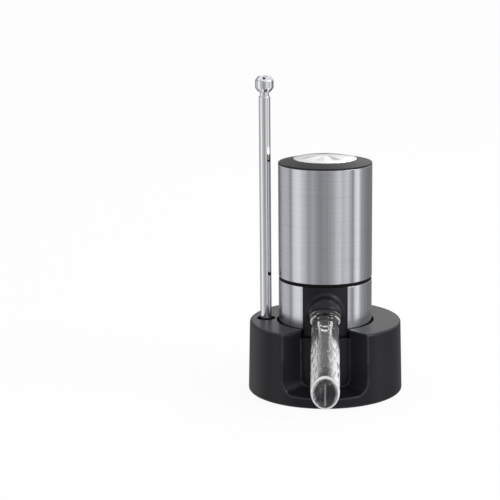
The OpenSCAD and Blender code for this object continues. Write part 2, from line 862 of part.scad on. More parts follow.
module pour_spout() {
    neck_r = spout_neck_d / 2;
    mouth_r = spout_mouth_d / 2;
    bore_start = spout_start + spout_socket_depth;
    bore_end = spout_reach + mouth_r;
    throat_r = throat_bore_d / 2;
    wide_r = mouth_bore_d / 2;
    mid_r = throat_r + flare_share * (wide_r - throat_r);
    collar_end = spout_start + collar_l;
    color([0.85, 0.88, 0.9, 0.4]) on_ledge() difference() {
        along_spout() rotate_extrude() polygon([
            [spout_socket_d / 2, spout_start], [collar_r - collar_round, spout_start],
            [collar_r, spout_start + collar_round], [collar_r, collar_end - collar_round],
            [collar_r - collar_round, collar_end], [neck_r, collar_end],
            [mouth_r, bore_start + flare_l], [mouth_r, bore_end + mouth_r],
            [wide_r, bore_end + mouth_r], [wide_r, bore_end],
            [mid_r, bore_start + throat_l + flare_l], [throat_r, bore_start + throat_l],
            [throat_r, bore_start], [spout_socket_d / 2, bore_start],
        ]);
        along_spout() translate([0, 0, spout_reach])
            rotate([mouth_lean - spout_slope, 0, 0])
                translate([-2 * mouth_r, -4 * mouth_r, 0]) cube([4 * mouth_r, 8 * mouth_r, 4 * mouth_r]);
    }
}

// Motor unit

module on_seam() {
    translate([0, 0, unit_z]) children();
}

module seam_ring() {
    color([0.05, 0.05, 0.055]) on_seam()
        ring(sleeve_r - seam_inset, spigot_r + slide_gap, -seam_h, 0);
}

// Stadium-shaped prism through the back wall
module back_slot(w, h, y0, y1) {
    translate([0, y1, usb_z]) rotate([90, 0, 0]) {
        for (side = [-1, 1]) translate([side * (w - h) / 2, 0, 0]) cylinder(r = h / 2, h = y1 - y0);
        translate([-(w - h) / 2, -h / 2, 0]) cube([w - h, h, y1 - y0]);
    }
}

module back_hole(r, y0, y1) {
    translate([0, y1, usb_z + led_lift]) rotate([90, 0, 0]) cylinder(r = r, h = y1 - y0);
}

module upper_sleeve() {
    color([0.74, 0.75, 0.77]) on_seam() difference() {
        ring(sleeve_r, sleeve_r - sleeve_t, 0, unit_sleeve_h);
        back_slot(usb_w + 2 * usb_clear, usb_h + 2 * usb_clear, chassis_bore_r, sleeve_r + cut);
        back_hole(led_r + slide_gap / 2, chassis_bore_r, sleeve_r + cut);
    }
}

module motor_chassis() {
    spigot_bottom = -seam_h - spigot_depth;
    lug_bottom = -seam_h - lug_drop;
    color([0.16, 0.16, 0.17]) on_seam() difference() {
        union() {
            ring(chassis_r, chassis_bore_r, floor_gap, chassis_h);
            disc(chassis_r, floor_gap, floor_top);
            ring(spigot_r, spigot_r - spigot_wall, spigot_bottom, floor_gap + slide_gap);
            for (i = [0 : lug_count - 1]) {
                middle = lug_first_angle + i * 360 / lug_count;
                sector(spigot_r + lug_reach, spigot_r - spigot_wall, middle - lug_half_angle,
                    middle + lug_half_angle, lug_bottom, lug_bottom + lug_h);
            }
            intersection() {
                disc(chassis_r, floor_gap, chassis_h);
                for (side = [-1, 1]) translate([side * (chassis_bore_r - rib_in / 2) - rib_in,
                    -rib_w / 2, floor_gap]) cube([2 * rib_in, rib_w, frame_z - floor_gap]);
            }
            translate([-shelf_w / 2, chassis_bore_r - rib_in,
                usb_z - usb_h / 2 - charge_board_t - shelf_t - slide_gap])
                cube([shelf_w, rib_in + chassis_wall / 2, shelf_t]);
        }
        translate([air_x, air_y, 0]) disc(duct_bore_r + 2 * slide_gap, 0, floor_top + cut);
        back_slot(usb_w + usb_clear, usb_h + usb_clear, chassis_bore_r - cut, sleeve_r + cut);
        back_hole(led_r + slide_gap / 2, chassis_bore_r - cut, sleeve_r + cut);
    }
}

module air_pump() {
    color([0.2, 0.2, 0.22]) on_seam() difference() {
        union() {
            translate([0, pump_y, pump_z]) {
                disc(pump_r, 0, pump_plate_h);
                disc(pump_r - pump_waist, 0, pump_h);
                disc(pump_r, pump_h - pump_plate_h, pump_h);
            }
            translate([air_x, air_y, 0]) disc(duct_bore_r + slide_gap, floor_gap, pump_z + cut);
        }
        translate([air_x, air_y, 0]) disc(air_r - slide_gap, 0, pump_z + pump_plate_h / 2);
        translate([0, pump_y, 0]) disc(shaft_r + slide_gap, pump_z + pump_plate_h, pump_z + pump_h + cut);
    }
}

module pump_motor() {
    z0 = pump_z + pump_h;
    color([0.62, 0.62, 0.63]) on_seam() translate([0, pump_y, z0]) difference() {
        union() {
            disc(motor_d / 2, 0, motor_h - motor_end_h);
            disc(motor_end_r, 0, motor_h);
        }
        disc(shaft_r + slide_gap / 2, -cut, motor_h / 2);
    }
}

module motor_shaft() {
    color([0.8, 0.8, 0.82]) on_seam() translate([0, pump_y, 0])
        disc(shaft_r, pump_z + pump_h - shaft_l, pump_z + pump_h + motor_h / 2 - slide_gap);
}

module battery_cell() {
    color([0.15, 0.35, 0.3]) on_seam() translate([0, cell_y, pump_z]) {
        disc(cell_r, 0, cell_h);
        disc(cell_button_r, 0, cell_h + cell_button_h);
    }
}

module inner_frame() {
    color([0.14, 0.14, 0.15]) on_seam() difference() {
        union() {
            disc(frame_r, frame_z, frame_z + frame_t);
            for (a = post_angles) rotate([0, 0, a]) translate([post_place_r, 0, 0])
                disc(post_r, frame_z, board_z);
            translate([0, cell_y, 0])
                ring(cell_post_r, cell_button_r + slide_gap, pump_z + cell_h + rest_gap,
                frame_z + slide_gap);
        }
        translate([0, pump_y, 0]) disc(motor_end_r + rest_gap, 0, frame_z + frame_t + cut);
        for (a = post_angles) rotate([0, 0, a]) translate([post_place_r, 0, 0])
            disc(pilot_r, frame_z - cut, board_z + cut);
    }
}

module frame_screws() {
    color([0.65, 0.65, 0.67]) on_seam() for (a = post_angles)
        rotate([0, 0, a]) translate([post_place_r, 0, board_z + board_t]) difference() {
            union() {
                cylinder(r = small_screw_head_r, h = small_screw_head_h);
                disc(small_screw_r, -small_screw_l, small_screw_head_h / 2);
            }
            translate([-small_screw_head_r * 0.7, -screw_slot_w / 2, small_screw_head_h / 2])
                cube([small_screw_head_r * 1.4, screw_slot_w, small_screw_head_h]);
        }
}

module control_board() {
    color([0.05, 0.3, 0.16]) on_seam() difference() {
        disc(board_r, board_z, board_z + board_t);
        for (a = post_angles) rotate([0, 0, a]) translate([post_place_r, 0, 0])
            disc(small_screw_r + slide_gap, board_z - cut, board_z + board_t + cut);
    }
}

module tact_switch() {
    z0 = board_z + board_t;
    color([0.1, 0.1, 0.1]) on_seam() {
        translate([-switch_w / 2, -switch_w / 2, z0]) cube([switch_w, switch_w, switch_h]);
        disc(switch_knob_r, z0, knob_top);
    }
}

// Points of one ring of wire, and the wire as a closed tube
function wire_ring(p, heading, tilt) = [
    for (i = [0 : spring_sides - 1])
        let (
            a = i * 360 / spring_sides,
            out = spring_wire_r * cos(a),
            up = spring_wire_r * sin(a)
        )
        p + [out * cos(heading) + up * sin(heading) * sin(tilt),
            out * sin(heading) - up * cos(heading) * sin(tilt), up * cos(tilt)]
];

module return_spring() {
    z0 = board_z + board_t + spring_wire_r + slide_gap;
    z1 = carrier_top - carrier_top_t - spring_wire_r - slide_gap;
    count = spring_turns * spring_steps;
    tilt = atan((z1 - z0) / spring_turns / (2 * PI * spring_r));
    rings = [
        for (i = [0 : count])
            let (a = i * 360 / spring_steps)
            wire_ring([spring_r * cos(a), spring_r * sin(a), z0 + (z1 - z0) * i / count], a, tilt)
    ];
    points = [for (r = rings, p = r) p];
    n = spring_sides;
    faces = concat(
        [[for (j = [0 : n - 1]) j]],
        [[for (j = [n - 1 : -1 : 0]) count * n + j]],
        [for (i = [0 : count - 1], j = [0 : n - 1], half = [0, 1])
            half == 0
                ? [i * n + j, (i + 1) * n + (j + 1) % n, i * n + (j + 1) % n]
                : [i * n + j, (i + 1) * n + j, (i + 1) * n + (j + 1) % n]]
    );
    color([0.7, 0.7, 0.72]) on_seam() polyhedron(points = points, faces = faces, convexity = 8);
}

module usb_connector() {
    y1 = sleeve_r - usb_set_back;
    y0 = y1 - usb_depth;
    color([0.75, 0.76, 0.78]) on_seam() {
        difference() {
            back_slot(usb_w, usb_h, y0, y1);
            back_slot(usb_w - 2 * usb_wall, usb_h - 2 * usb_wall, y0 + usb_wall, y1 + cut);
        }
        translate([-usb_tongue_w / 2, y0, usb_z - usb_tongue_h / 2])
            cube([usb_tongue_w, usb_depth - usb_tongue_short, usb_tongue_h]);
    }
}

module charge_board() {
    y0 = cell_y + cell_r + 2 * slide_gap;
    y1 = sqrt(pow(chassis_bore_r, 2) - pow(charge_board_w / 2, 2)) - rest_gap;
    color([0.05, 0.3, 0.16]) on_seam()
        translate([-charge_board_w / 2, y0, usb_z - usb_h / 2 - charge_board_t])
            cube([charge_board_w, y1 - y0, charge_board_t]);
}

module charge_led() {
    color([0.9, 0.95, 0.9, 0.6]) on_seam() back_hole(led_r, sleeve_r - led_l, sleeve_r - panel_set_back);
}

module top_cap() {
    crown = cap_z + cap_crown;
    e = cap_edge_round;
    color([0.2, 0.2, 0.21]) on_seam() rotate_extrude() polygon([
        [cap_edge_r, cap_z], [cap_edge_r, cap_z + cap_side_h - e],
        for (a = [0 : 30 : 60]) [cap_edge_r - e + e * cos(a), cap_z + cap_side_h - e + e * sin(a)],
        [cap_open_r + e, crown], [cap_open_r, crown - e],
        [cap_open_r, lip_top], [lip_r, lip_top], [lip_r, lip_top - lip_t],
        [cap_skirt_r - cap_skirt_wall, lip_top - lip_t],
        [cap_skirt_r - cap_skirt_wall, cap_z - cap_skirt_h],
        [cap_skirt_r, cap_z - cap_skirt_h], [cap_skirt_r, cap_z],
    ]);
}

module button_carrier() {
    color([0.16, 0.16, 0.17]) on_seam() {
        disc(dome_r - slide_gap, carrier_top - carrier_top_t, carrier_top);
        ring(carrier_skirt_r, carrier_skirt_r - carrier_wall, carrier_under - hook_h,
            carrier_top - carrier_top_t / 2);
        for (i = [0 : hook_count - 1]) {
            middle = i * 360 / hook_count;
            sector(carrier_skirt_r + hook_reach, carrier_skirt_r - carrier_wall,
                middle - hook_half_angle, middle + hook_half_angle, carrier_under - hook_h, carrier_under);
        }
        disc(plunger_r, plunger_bottom, carrier_top - carrier_top_t / 2);
    }
}

module dome_button() {
    ball_r = (pow(dome_r, 2) + pow(dome_rise, 2)) / (2 * dome_rise);
    edge_z = cap_z + cap_crown + dome_lift;
    color([0.86, 0.87, 0.88]) on_seam() intersection() {
        translate([0, 0, edge_z + dome_rise - ball_r]) difference() {
            sphere(r = ball_r, $fn = 192);
            sphere(r = ball_r - dome_t, $fn = 192);
        }
        disc(dome_r, edge_z - dome_rim_h, edge_z + dome_rise + cut);
    }
}

base_shell();
cup_liner();
base_cover();
base_pad();
base_screws();
draw_tube();
tube_bush();
sliding_tube();
inlet_foot();
head_housing();
neck_guide();
head_sleeve();
bottle_stopper();
inlet_fitting();
inlet_grommet();
wine_hose();
spout_nozzle();
spout_o_ring();
air_port_seal();
pour_spout();
seam_ring();
upper_sleeve();
motor_chassis();
air_pump();
pump_motor();
motor_shaft();
battery_cell();
inner_frame();
frame_screws();
control_board();
tact_switch();
return_spring();
usb_connector();
charge_board();
charge_led();
top_cap();
button_carrier();
dome_button();
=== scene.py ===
import bpy
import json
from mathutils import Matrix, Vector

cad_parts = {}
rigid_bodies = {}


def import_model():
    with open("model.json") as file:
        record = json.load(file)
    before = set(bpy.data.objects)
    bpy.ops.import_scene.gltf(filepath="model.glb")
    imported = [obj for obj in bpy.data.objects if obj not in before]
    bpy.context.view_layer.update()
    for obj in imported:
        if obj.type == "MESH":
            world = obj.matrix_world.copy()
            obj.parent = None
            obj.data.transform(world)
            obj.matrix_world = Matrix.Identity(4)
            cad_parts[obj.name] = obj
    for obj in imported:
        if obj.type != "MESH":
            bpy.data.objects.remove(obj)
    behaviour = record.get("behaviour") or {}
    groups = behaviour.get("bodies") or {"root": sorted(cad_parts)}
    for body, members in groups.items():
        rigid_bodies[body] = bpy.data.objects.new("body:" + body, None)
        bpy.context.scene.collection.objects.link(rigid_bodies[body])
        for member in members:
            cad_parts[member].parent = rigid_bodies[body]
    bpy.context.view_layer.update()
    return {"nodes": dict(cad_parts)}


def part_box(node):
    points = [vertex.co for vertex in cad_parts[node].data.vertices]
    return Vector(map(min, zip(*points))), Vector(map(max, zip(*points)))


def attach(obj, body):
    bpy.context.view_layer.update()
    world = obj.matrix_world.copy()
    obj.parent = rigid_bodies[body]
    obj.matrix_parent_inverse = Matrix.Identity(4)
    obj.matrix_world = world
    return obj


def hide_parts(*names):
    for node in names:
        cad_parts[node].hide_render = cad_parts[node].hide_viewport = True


for leftover in list(bpy.data.objects):
    bpy.data.objects.remove(leftover)
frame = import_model()

import functools
import json
import math

import bmesh
import numpy as np
from bpy.props import FloatProperty, FloatVectorProperty, PointerProperty
from mathutils import Vector

bl_info = {
    "name": "Electric wine aerator",
    "version": (1, 0, 0),
    "blender": (4, 5, 0),
    "location": "View3D > Sidebar > Aerator",
    "description": "Dresses the aerator, its draw tube and its storage base",
    "category": "Object",
}

MM = 0.001

# Gap between pieces that sit in one another, and the rounding of moulded and of rolled edges
GAP = 0.1 * MM
MOULDED_EDGE = 0.3 * MM
ROLLED_EDGE = 0.15 * MM


def node_box(node):
    """Lowest and highest corner of a CAD node."""
    lo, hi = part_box(node)
    return tuple(map(float, lo)), tuple(map(float, hi))


BASE_LO, BASE_HI = node_box("base_shell")
TUBE_LO, TUBE_HI = node_box("draw_tube")
SLIDER_LO, SLIDER_HI = node_box("sliding_tube")
FOOT_LO, FOOT_HI = node_box("inlet_foot")
LINER_LO, LINER_HI = node_box("cup_liner")
HOUSING_LO, HOUSING_HI = node_box("head_housing")
LOWER_LO, LOWER_HI = node_box("head_sleeve")
UPPER_LO, UPPER_HI = node_box("upper_sleeve")
SEAM_LO, SEAM_HI = node_box("seam_ring")
CAP_LO, CAP_HI = node_box("top_cap")
DOME_LO, DOME_HI = node_box("dome_button")
LEDGE = LINER_HI[2]
TUBE_X = (TUBE_LO[0] + TUBE_HI[0]) / 2
TUBE_Y = (TUBE_LO[1] + TUBE_HI[1]) / 2
TUBE_RADIUS = (TUBE_HI[0] - TUBE_LO[0]) / 2
SLIDER_RADIUS = (SLIDER_HI[0] - SLIDER_LO[0]) / 2


def length(name, description, default):
    return FloatProperty(name=name, description=description, default=default, unit="LENGTH", precision=5)


def angle(name, description, degrees):
    return FloatProperty(
        name=name, description=description, default=math.radians(degrees), subtype="ANGLE", unit="ROTATION"
    )


def colour(name, description, default):
    return FloatVectorProperty(
        name=name, description=description, default=default, size=3, min=0, max=1, subtype="COLOR"
    )


class AeratorBase(bpy.types.PropertyGroup):
    foot_radius: length("Foot radius", "Radius of the base at the table", BASE_HI[0])
    top_radius: length("Top radius", "Radius of the base at its top face", 47.1 * MM)
    top_round: length("Top rounding", "Rounding of the outer edge at the top", 1.5 * MM)
    foot_round: length("Foot rounding", "Rounding of the outer edge at the foot", 1 * MM)
    edge_round: length("Edge rounding", "Rounding of the scoop's edges", 0.75 * MM)
    hole_round: length("Hole rounding", "Rounding of the recess's and the well's edges", 0.4 * MM)
    recess_radius: length("Recess radius", "Radius of the recess round the steel sleeve", 30.2 * MM)
    recess_sink: length("Recess sink", "Depth of the recess below the cup's rim", 0.5 * MM)
    liner_bore: length("Liner bore", "Radius of the cup's bore", 27.5 * MM)
    liner_wall: length("Liner wall", "Thickness of the cup's floor and foot", 2 * MM)
    cup_floor: length("Cup floor", "Height of the cup's floor", 12 * MM)
    throat_width: length("Throat width", "Width of the scoop at the cup", 29.3 * MM)
    splay: angle("Splay", "Splay of the scoop's side walls", 45)
    throat_floor: length("Throat floor", "Height of the scoop's floor at the cup", 9.9 * MM)
    lip_floor: length("Lip floor", "Height of the scoop's floor at the front", 6.9 * MM)
    throat_round: length("Throat corner", "Corner radius of the scoop at the cup", 5.5 * MM)
    lip_round: length("Lip corner", "Corner radius of the scoop at the front", 12 * MM)
    bead: length("Bead", "Radius of the bead round the scoop's inner end", 0.65 * MM)
    well_radius: length("Well radius", "Radius of the tube's well", 5.75 * MM)
    well_throat: length("Well throat", "Radius of the well below its cone", 3.7 * MM)
    well_floor: length("Well floor", "Height of the well's floor", 6 * MM)
    cone_foot: length("Cone foot", "Height at which the well's cone starts", 10 * MM)
    cone_top: length("Cone top", "Height at which the well's cone ends", 14 * MM)
    cup_hollow: length("Cup hollow", "Radius of the hollow under the cup", 27.7 * MM)
    cup_hollow_top: length("Cup hollow top", "Height of the hollow under the cup", 11 * MM)
    cover_hollow: length("Cover hollow", "Radius of the cover's seat", 45.8 * MM)
    cover_hollow_top: length("Cover hollow top", "Height of the cover's seat", 4.1 * MM)
    colour: colour("Base colour", "Matt black of the moulded base", (0.0083, 0.0088, 0.0118))


class AeratorTube(bpy.types.PropertyGroup):
    bore: length("Bore", "Radius of the fixed tube's bore", 3.1 * MM)
    lip_height: length("Lip height", "Height of the rolled lip", 1.2 * MM)
    slider_wall: length("Slider wall", "Wall of the sliding tube", 0.4 * MM)
    foot_chamfer: length("Foot chamfer", "Height of the inlet foot's chamfers", 2.4 * MM)
    foot_crown: length("Foot crown", "Radius of the inlet foot's top face", 3.6 * MM)
    foot_bore: length("Foot bore", "Radius of the inlet foot's bore", 2.4 * MM)
    foot_seat: length("Foot seat", "Depth of the foot's seat for the sliding tube", 4.1 * MM)
    inlet_radius: length("Inlet radius", "Radius of the sunk inlet in the top face", 2.9 * MM)
    inlet_depth: length("Inlet depth", "Depth of the sunk inlet in the top face", 0.7 * MM)
    groove_width: length("Groove width", "Width of the grooves across the foot", 1.5 * MM)
    groove_depth: length("Groove depth", "Depth of the grooves across the foot", 1.6 * MM)
    colour: colour("Tube colour", "Polished steel of the draw tube", (0.85, 0.86, 0.885))


class AeratorHead(bpy.types.PropertyGroup):
    panel_radius: length("Panel radius", "Radius of the black front panel", 28.8 * MM)
    panel_half_angle: angle("Panel half angle", "Half of the panel's width round the axis", 27.9)
    housing_radius: length("Housing radius", "Radius of the housing behind the sleeve", 28.3 * MM)
    sleeve_gap_angle: angle("Sleeve gap", "Gap between sleeve and panel", 0.35)
    skirt_radius: length("Skirt radius", "Radius of the skirt under the sleeve", 28.5 * MM)
    deck_lift: length("Deck lift", "Height of the deck over the cup's rim", 6.6 * MM)
    lower_bore: length("Lower bore", "Radius of the bore under the deck", 27 * MM)
    upper_bore: length("Upper bore", "Radius of the bore over the deck", 26.3 * MM)
    lock_bore: length("Lock bore", "Radius of the twist lock's seat", 27.25 * MM)
    lock_depth: length("Lock depth", "Depth of the twist lock's seat", 4.8 * MM)
    boss_radius: length("Boss radius", "Radius of the spout's boss", 9.85 * MM)
    boss_height: length("Boss height", "Height of the boss's axis", 56.5 * MM)
    bend_reach: length("Bend reach", "Distance of the boss's bend from the axis", 34.8 * MM)
    root_round: length("Root rounding", "Fillet between boss and panel", 2.9 * MM)
    colour: colour("Head colour", "Satin black of the pouring head", (0.0105, 0.011, 0.014))


class AeratorSpout(bpy.types.PropertyGroup):
    slope: angle("Slope", "Slope of the spout below the horizontal", 45)
    start: length("Start", "Distance from the bend to the collar's back", 1.6 * MM)
    collar_radius: length("Collar radius", "Radius of the spout's collar", 9.35 * MM)
    collar_length: length("Collar length", "Length of the spout's collar", 3.4 * MM)
    neck_radius: length("Neck radius", "Radius of the spout behind the collar", 8 * MM)
    mouth_radius: length("Mouth radius", "Outer radius of the spout at its mouth", 8.6 * MM)
    reach: length("Reach", "Distance from the bend to the mouth's middle", 53.8 * MM)
    mouth_tilt: angle("Mouth tilt", "Angle of the mouth against the spout", 38)
    socket_radius: length("Socket radius", "Radius of the socket in the collar", 3.35 * MM)
    socket_depth: length("Socket depth", "Depth of the socket", 9.4 * MM)
    throat_radius: length("Throat radius", "Radius of the bore behind the socket", 3.0 * MM)
    flare_start: length("Flare start", "Distance from the bend at which the bore flares", 39 * MM)
    mouth_bore: length("Mouth bore", "Radius of the bore at the mouth", 6.1 * MM)
    nozzle_radius: length("Nozzle radius", "Radius of the black nozzle", 3.38 * MM)
    nozzle_reach: length("Nozzle reach", "Distance from the bend to the nozzle's tip", 7.5 * MM)
    nozzle_bore: length("Nozzle bore", "Radius of the nozzle's bore", 1.6 * MM)
    stem_radius: length("Stem radius", "Radius of the nozzle's stem in the boss", 2.4 * MM)
    stem_length: length("Stem length", "Length of the nozzle's stem behind the bend", 17 * MM)
    ring_place: length("Ring place", "Distance from the bend to the sealing ring", 4.4 * MM)
    colour: colour("Spout colour", "Tint of the clear plastic", (0.985, 0.99, 0.995))


class AeratorUnit(bpy.types.PropertyGroup):
    sleeve_thickness: length("Sleeve thickness", "Thickness of the steel sleeves", 0.6 * MM)
    seam_bore: length("Seam bore", "Inner radius of the black seam ring", 26.2 * MM)
    port_width: length("Port width", "Width of the charging port's opening", 9.6 * MM)
    port_height: length("Port height", "Height of the charging port's opening", 3.8 * MM)
    port_lift: length("Port lift", "Height of the port over the seam", 10.6 * MM)
    lamp_radius: length("Lamp hole", "Radius of the lamp's hole", 1.05 * MM)
    lamp_lift: length("Lamp lift", "Height of the lamp over the port", 5.6 * MM)
    cap_opening: length("Cap opening", "Radius of the cap's opening", 19.95 * MM)
    cap_side: length("Cap side", "Height of the cap's side", 1 * MM)
    cap_face: length("Cap face", "Height of the opening's wall", 2.5 * MM)
    cap_shelf: length("Cap shelf", "Width of the shelf round the opening", 1.3 * MM)
    spigot_radius: length("Spigot radius", "Outer radius of the cap's spigot", 26.4 * MM)
    spigot_bore: length("Spigot bore", "Inner radius of the cap's spigot", 24.9 * MM)
    dome_rim: length("Dome rim", "Height of the button's rim", 0.5 * MM)
    steel: colour("Steel colour", "Brushed steel of the sleeves", (0.627, 0.638, 0.68))
    cap: colour("Cap colour", "Satin black of the cap", (0.0125, 0.0128, 0.016))
    dome: colour("Button colour", "Bright steel of the domed button", (0.92, 0.92, 0.925))


class AeratorStage(bpy.types.PropertyGroup):
    distance: length("Camera distance", "Distance of the camera from the axis", 1.009)
    height: length("Camera height", "Height of the camera over the table", 0.30656)
    pitch: angle("Camera pitch", "Angle of the camera below the horizontal", 12.177)
    lens: FloatProperty(name="Lens", description="Focal length in mm", default=119.75, unit="CAMERA")
    shift: FloatProperty(name="Shift", description="Sideways shift of the camera", default=-0.1504)
    floor_size: length("Floor size", "Width of the floor", 14)
    floor_colour: colour("Floor colour", "Pale floor", (0.93, 0.93, 0.93))
    key: FloatProperty(name="Key light", description="Power of the key light", default=3.5, unit="POWER")
    rim: FloatProperty(name="Rim light", description="Power of the rim light", default=1, unit="POWER")


# Shaders


class Socket:
    """An output of a node tree. Arithmetic on it adds Math nodes."""

    def __init__(self, tree, socket):
        self.tree = tree
        self.socket = socket

    def __add__(self, other):
        return self.tree.math("ADD", self, other)

    __radd__ = __add__

    def __mul__(self, other):
        return self.tree.math("MULTIPLY", self, other)

    __rmul__ = __mul__

    def __sub__(self, other):
        return self.tree.math("SUBTRACT", self, other)

    def __rsub__(self, other):
        return self.tree.math("SUBTRACT", other, self)

    def __truediv__(self, other):
        return self.tree.math("DIVIDE", self, other)

    def __pow__(self, other):
        return self.tree.math("POWER", self, other)

    def __mod__(self, other):
        return self.tree.math("MODULO", self, other)

    def __abs__(self):
        return self.tree.math("ABSOLUTE", self)


class Tree:
    """The node tree of a material or of the world."""

    def __init__(self, owner):
        owner.use_nodes = True
        self.nodes = owner.node_tree.nodes
        self.links = owner.node_tree.links
        self.nodes.clear()

    def add(self, kind, settings=None, inputs=None, out=0):
        """Adds a node, with its settings first and then its sockets' values or links."""
        made = self.nodes.new(kind)
        for name, value in (settings or {}).items():
            if name == "stops":
                self.set_stops(made.color_ramp, value)
            else:
                setattr(made, name, value)
        for name, value in (inputs or {}).items():
            if isinstance(value, Socket):
                self.links.new(value.socket, made.inputs[name])
            else:
                made.inputs[name].default_value = value
        return Socket(self, made.outputs[out]) if made.outputs else None

    def set_stops(self, ramp, stops):
        while len(ramp.elements) > 1:
            ramp.elements.remove(ramp.elements[-1])
        for index, (place, value) in enumerate(stops):
            element = ramp.elements[0] if index == 0 else ramp.elements.new(place)
            element.position = place
            element.color = (value, value, value, 1)

    def math(self, operation, *values):
        return self.add("ShaderNodeMath", {"operation": operation}, dict(enumerate(values)))

    def place(self):
        return self.add("ShaderNodeTexCoord", out="Object")

    def parts(self, vector):
        """The three parts of a vector."""
        split = self.add("ShaderNodeSeparateXYZ", None, {0: vector}).socket.node
        return [Socket(self, output) for output in split.outputs]

    def stretched(self, scale, vector=None):
        return self.add(
            "ShaderNodeVectorMath", {"operation": "MULTIPLY"}, {0: vector or self.place(), 1: scale}
        )

    def noise(self, scale, detail=2, vector=None, roughness=0.5):
        where = vector or self.place()
        inputs = {"Vector": where, "Scale": scale, "Detail": detail, "Roughness": roughness}
        return self.add("ShaderNodeTexNoise", None, inputs)

    def between(self, value, low, high):
        """The value, clamped and eased from 0 at low to 1 at high."""
        return self.add(
            "ShaderNodeMapRange", {"interpolation_type": "SMOOTHSTEP"},
            {"Value": value, "From Min": low, "From Max": high},
        )

    def below(self, value, low, high):
        """The value, clamped and eased from 1 at low to 0 at high."""
        return 1 - self.between(value, low, high)

    def blend(self, factor, first, second):
        return self.add(
            "ShaderNodeMix", {"data_type": "RGBA"}, {0: factor, 6: (*first, 1), 7: (*second, 1)}, out=2
        )

    def bump(self, height, distance, strength=1.0):
        inputs = {"Height": height, "Distance": distance, "Strength": strength}
        return self.add("ShaderNodeBump", None, inputs)

    def shader(self, **inputs):
        named = {name.replace("_", " "): value for name, value in inputs.items()}
        for name, value in named.items():
            if isinstance(value, tuple):
                named[name] = (*value, 1)
        return self.add("ShaderNodeBsdfPrincipled", None, named)

    def output(self, shader):
        self.add("ShaderNodeOutputMaterial", None, {"Surface": shader})

    def surface(self, **inputs):
        self.output(self.shader(**inputs))

    def dot(self, direction, vector=None):
        inputs = {0: vector or self.place(), 1: direction}
        return self.add("ShaderNodeVectorMath", {"operation": "DOT_PRODUCT"}, inputs, out="Value")


def tinted(value, amount):
    return tuple(min(1, part * amount) for part in value)


def new_finish(name):
    material = bpy.data.materials.new(name)
    return material, Tree(material)


def moulded(name, tone, rough, grain, depth, spread=0.06, edge_highlight=0.0, **more):
    """Moulded plastic with a fine grained skin, slight clouds in tone and gloss, and, where asked, a
    painted highlight that lightens its edges.

    The grain is the skin's fineness, the depth its relief, and the spread how far the gloss varies.
    """
    material, tree = new_finish(name)
    clouds = tree.noise(38, 3)
    skin = tree.noise(grain, 3, roughness=0.6)
    light = clouds
    # Painted highlight: pointiness lightens the base colour along sharp edges, while the clouds are the
    # plastic's own tone.
    if edge_highlight:
        edges = tree.add("ShaderNodeNewGeometry", out="Pointiness")
        light = clouds + tree.between(edges, 0.51, 0.545) * edge_highlight
    tree.surface(
        Base_Color=tree.blend(light * 0.1, tinted(tone, 0.82), tinted(tone, 4.6)),
        Roughness=rough + (clouds - 0.5) * spread + (skin - 0.5) * spread,
        Normal=tree.bump(skin, depth),
        **more,
    )
    return material


@functools.cache
def base_black(tone):
    # The base's edges carry a painted highlight in their colour.
    return moulded(
        "matt black base", tone, rough=0.31, grain=3200, depth=0.03 * MM, spread=0.08, edge_highlight=9.0,
        Specular_IOR_Level=0.24,
    )


@functools.cache
def cup_black(tone):
    return moulded(
        "matt black cup", tone, rough=0.31, grain=3200, depth=0.03 * MM, spread=0.08,
        Specular_IOR_Level=0.24,
    )


@functools.cache
def head_black(tone):
    return moulded(
        "satin black head", tone, rough=0.36, grain=4200, depth=0.02 * MM, Specular_IOR_Level=0.25
    )


@functools.cache
def cap_black(tone):
    return moulded(
        "satin black cap", tone, rough=0.42, grain=4200, depth=0.02 * MM, Specular_IOR_Level=0.2
    )


@functools.cache
def inner_black():
    tone = (0.016, 0.016, 0.017)
    return moulded("black inner moulding", tone, rough=0.5, grain=2600, depth=0.04 * MM, spread=0.1)


@functools.cache
def seam_black():
    tone = (0.004, 0.004, 0.0045)
    return moulded(
        "black seam ring", tone, rough=0.5, grain=3000, depth=0.02 * MM, Specular_IOR_Level=0.1
    )


@functools.cache
def rubber(name, grey):
    tone = (grey, grey, grey * 1.03)
    return moulded(name, tone, rough=0.72, grain=1900, depth=0.08 * MM, spread=0.12, Sheen_Weight=0.08)


@functools.cache
def natural_plastic():
    return moulded(
        "natural plastic", (0.66, 0.66, 0.62), rough=0.42, grain=2400, depth=0.02 * MM,
        Subsurface_Weight=0.12, Subsurface_Scale=2 * MM,
    )


@functools.cache
def hose_silicone():
    return moulded(
        "clear silicone hose", (0.72, 0.74, 0.74), rough=0.32, grain=900, depth=0.02 * MM, spread=0.05,
        Transmission_Weight=0.55, IOR=1.41,
    )


@functools.cache
def brushed_steel(tone):
    """Steel brushed along its height, with faint lines round it from turning."""
    material, tree = new_finish("brushed steel")
    place = tree.place()
    broad = tree.noise(1, 2, tree.stretched((420, 420, 2.5), place))
    fine = tree.noise(1, 2, tree.stretched((2600, 2600, 14), place), 0.7)
    turned = tree.noise(1, 3, tree.stretched((7, 7, 1500), place), 0.7)
    streak = broad * 0.25 + fine * 0.35 + turned * 0.4
    tree.surface(
        Base_Color=tree.blend(tree.between(streak, 0.3, 0.7), tinted(tone, 0.88), tinted(tone, 1.09)),
        Metallic=1.0,
        Roughness=0.14 + fine * 0.06 + turned * 0.03,
        Anisotropic=0.8,
        Anisotropic_Rotation=0.25,
        Normal=tree.bump(fine * 0.9 + turned * 0.1, distance=0.006 * MM, strength=0.5),
    )
    return material


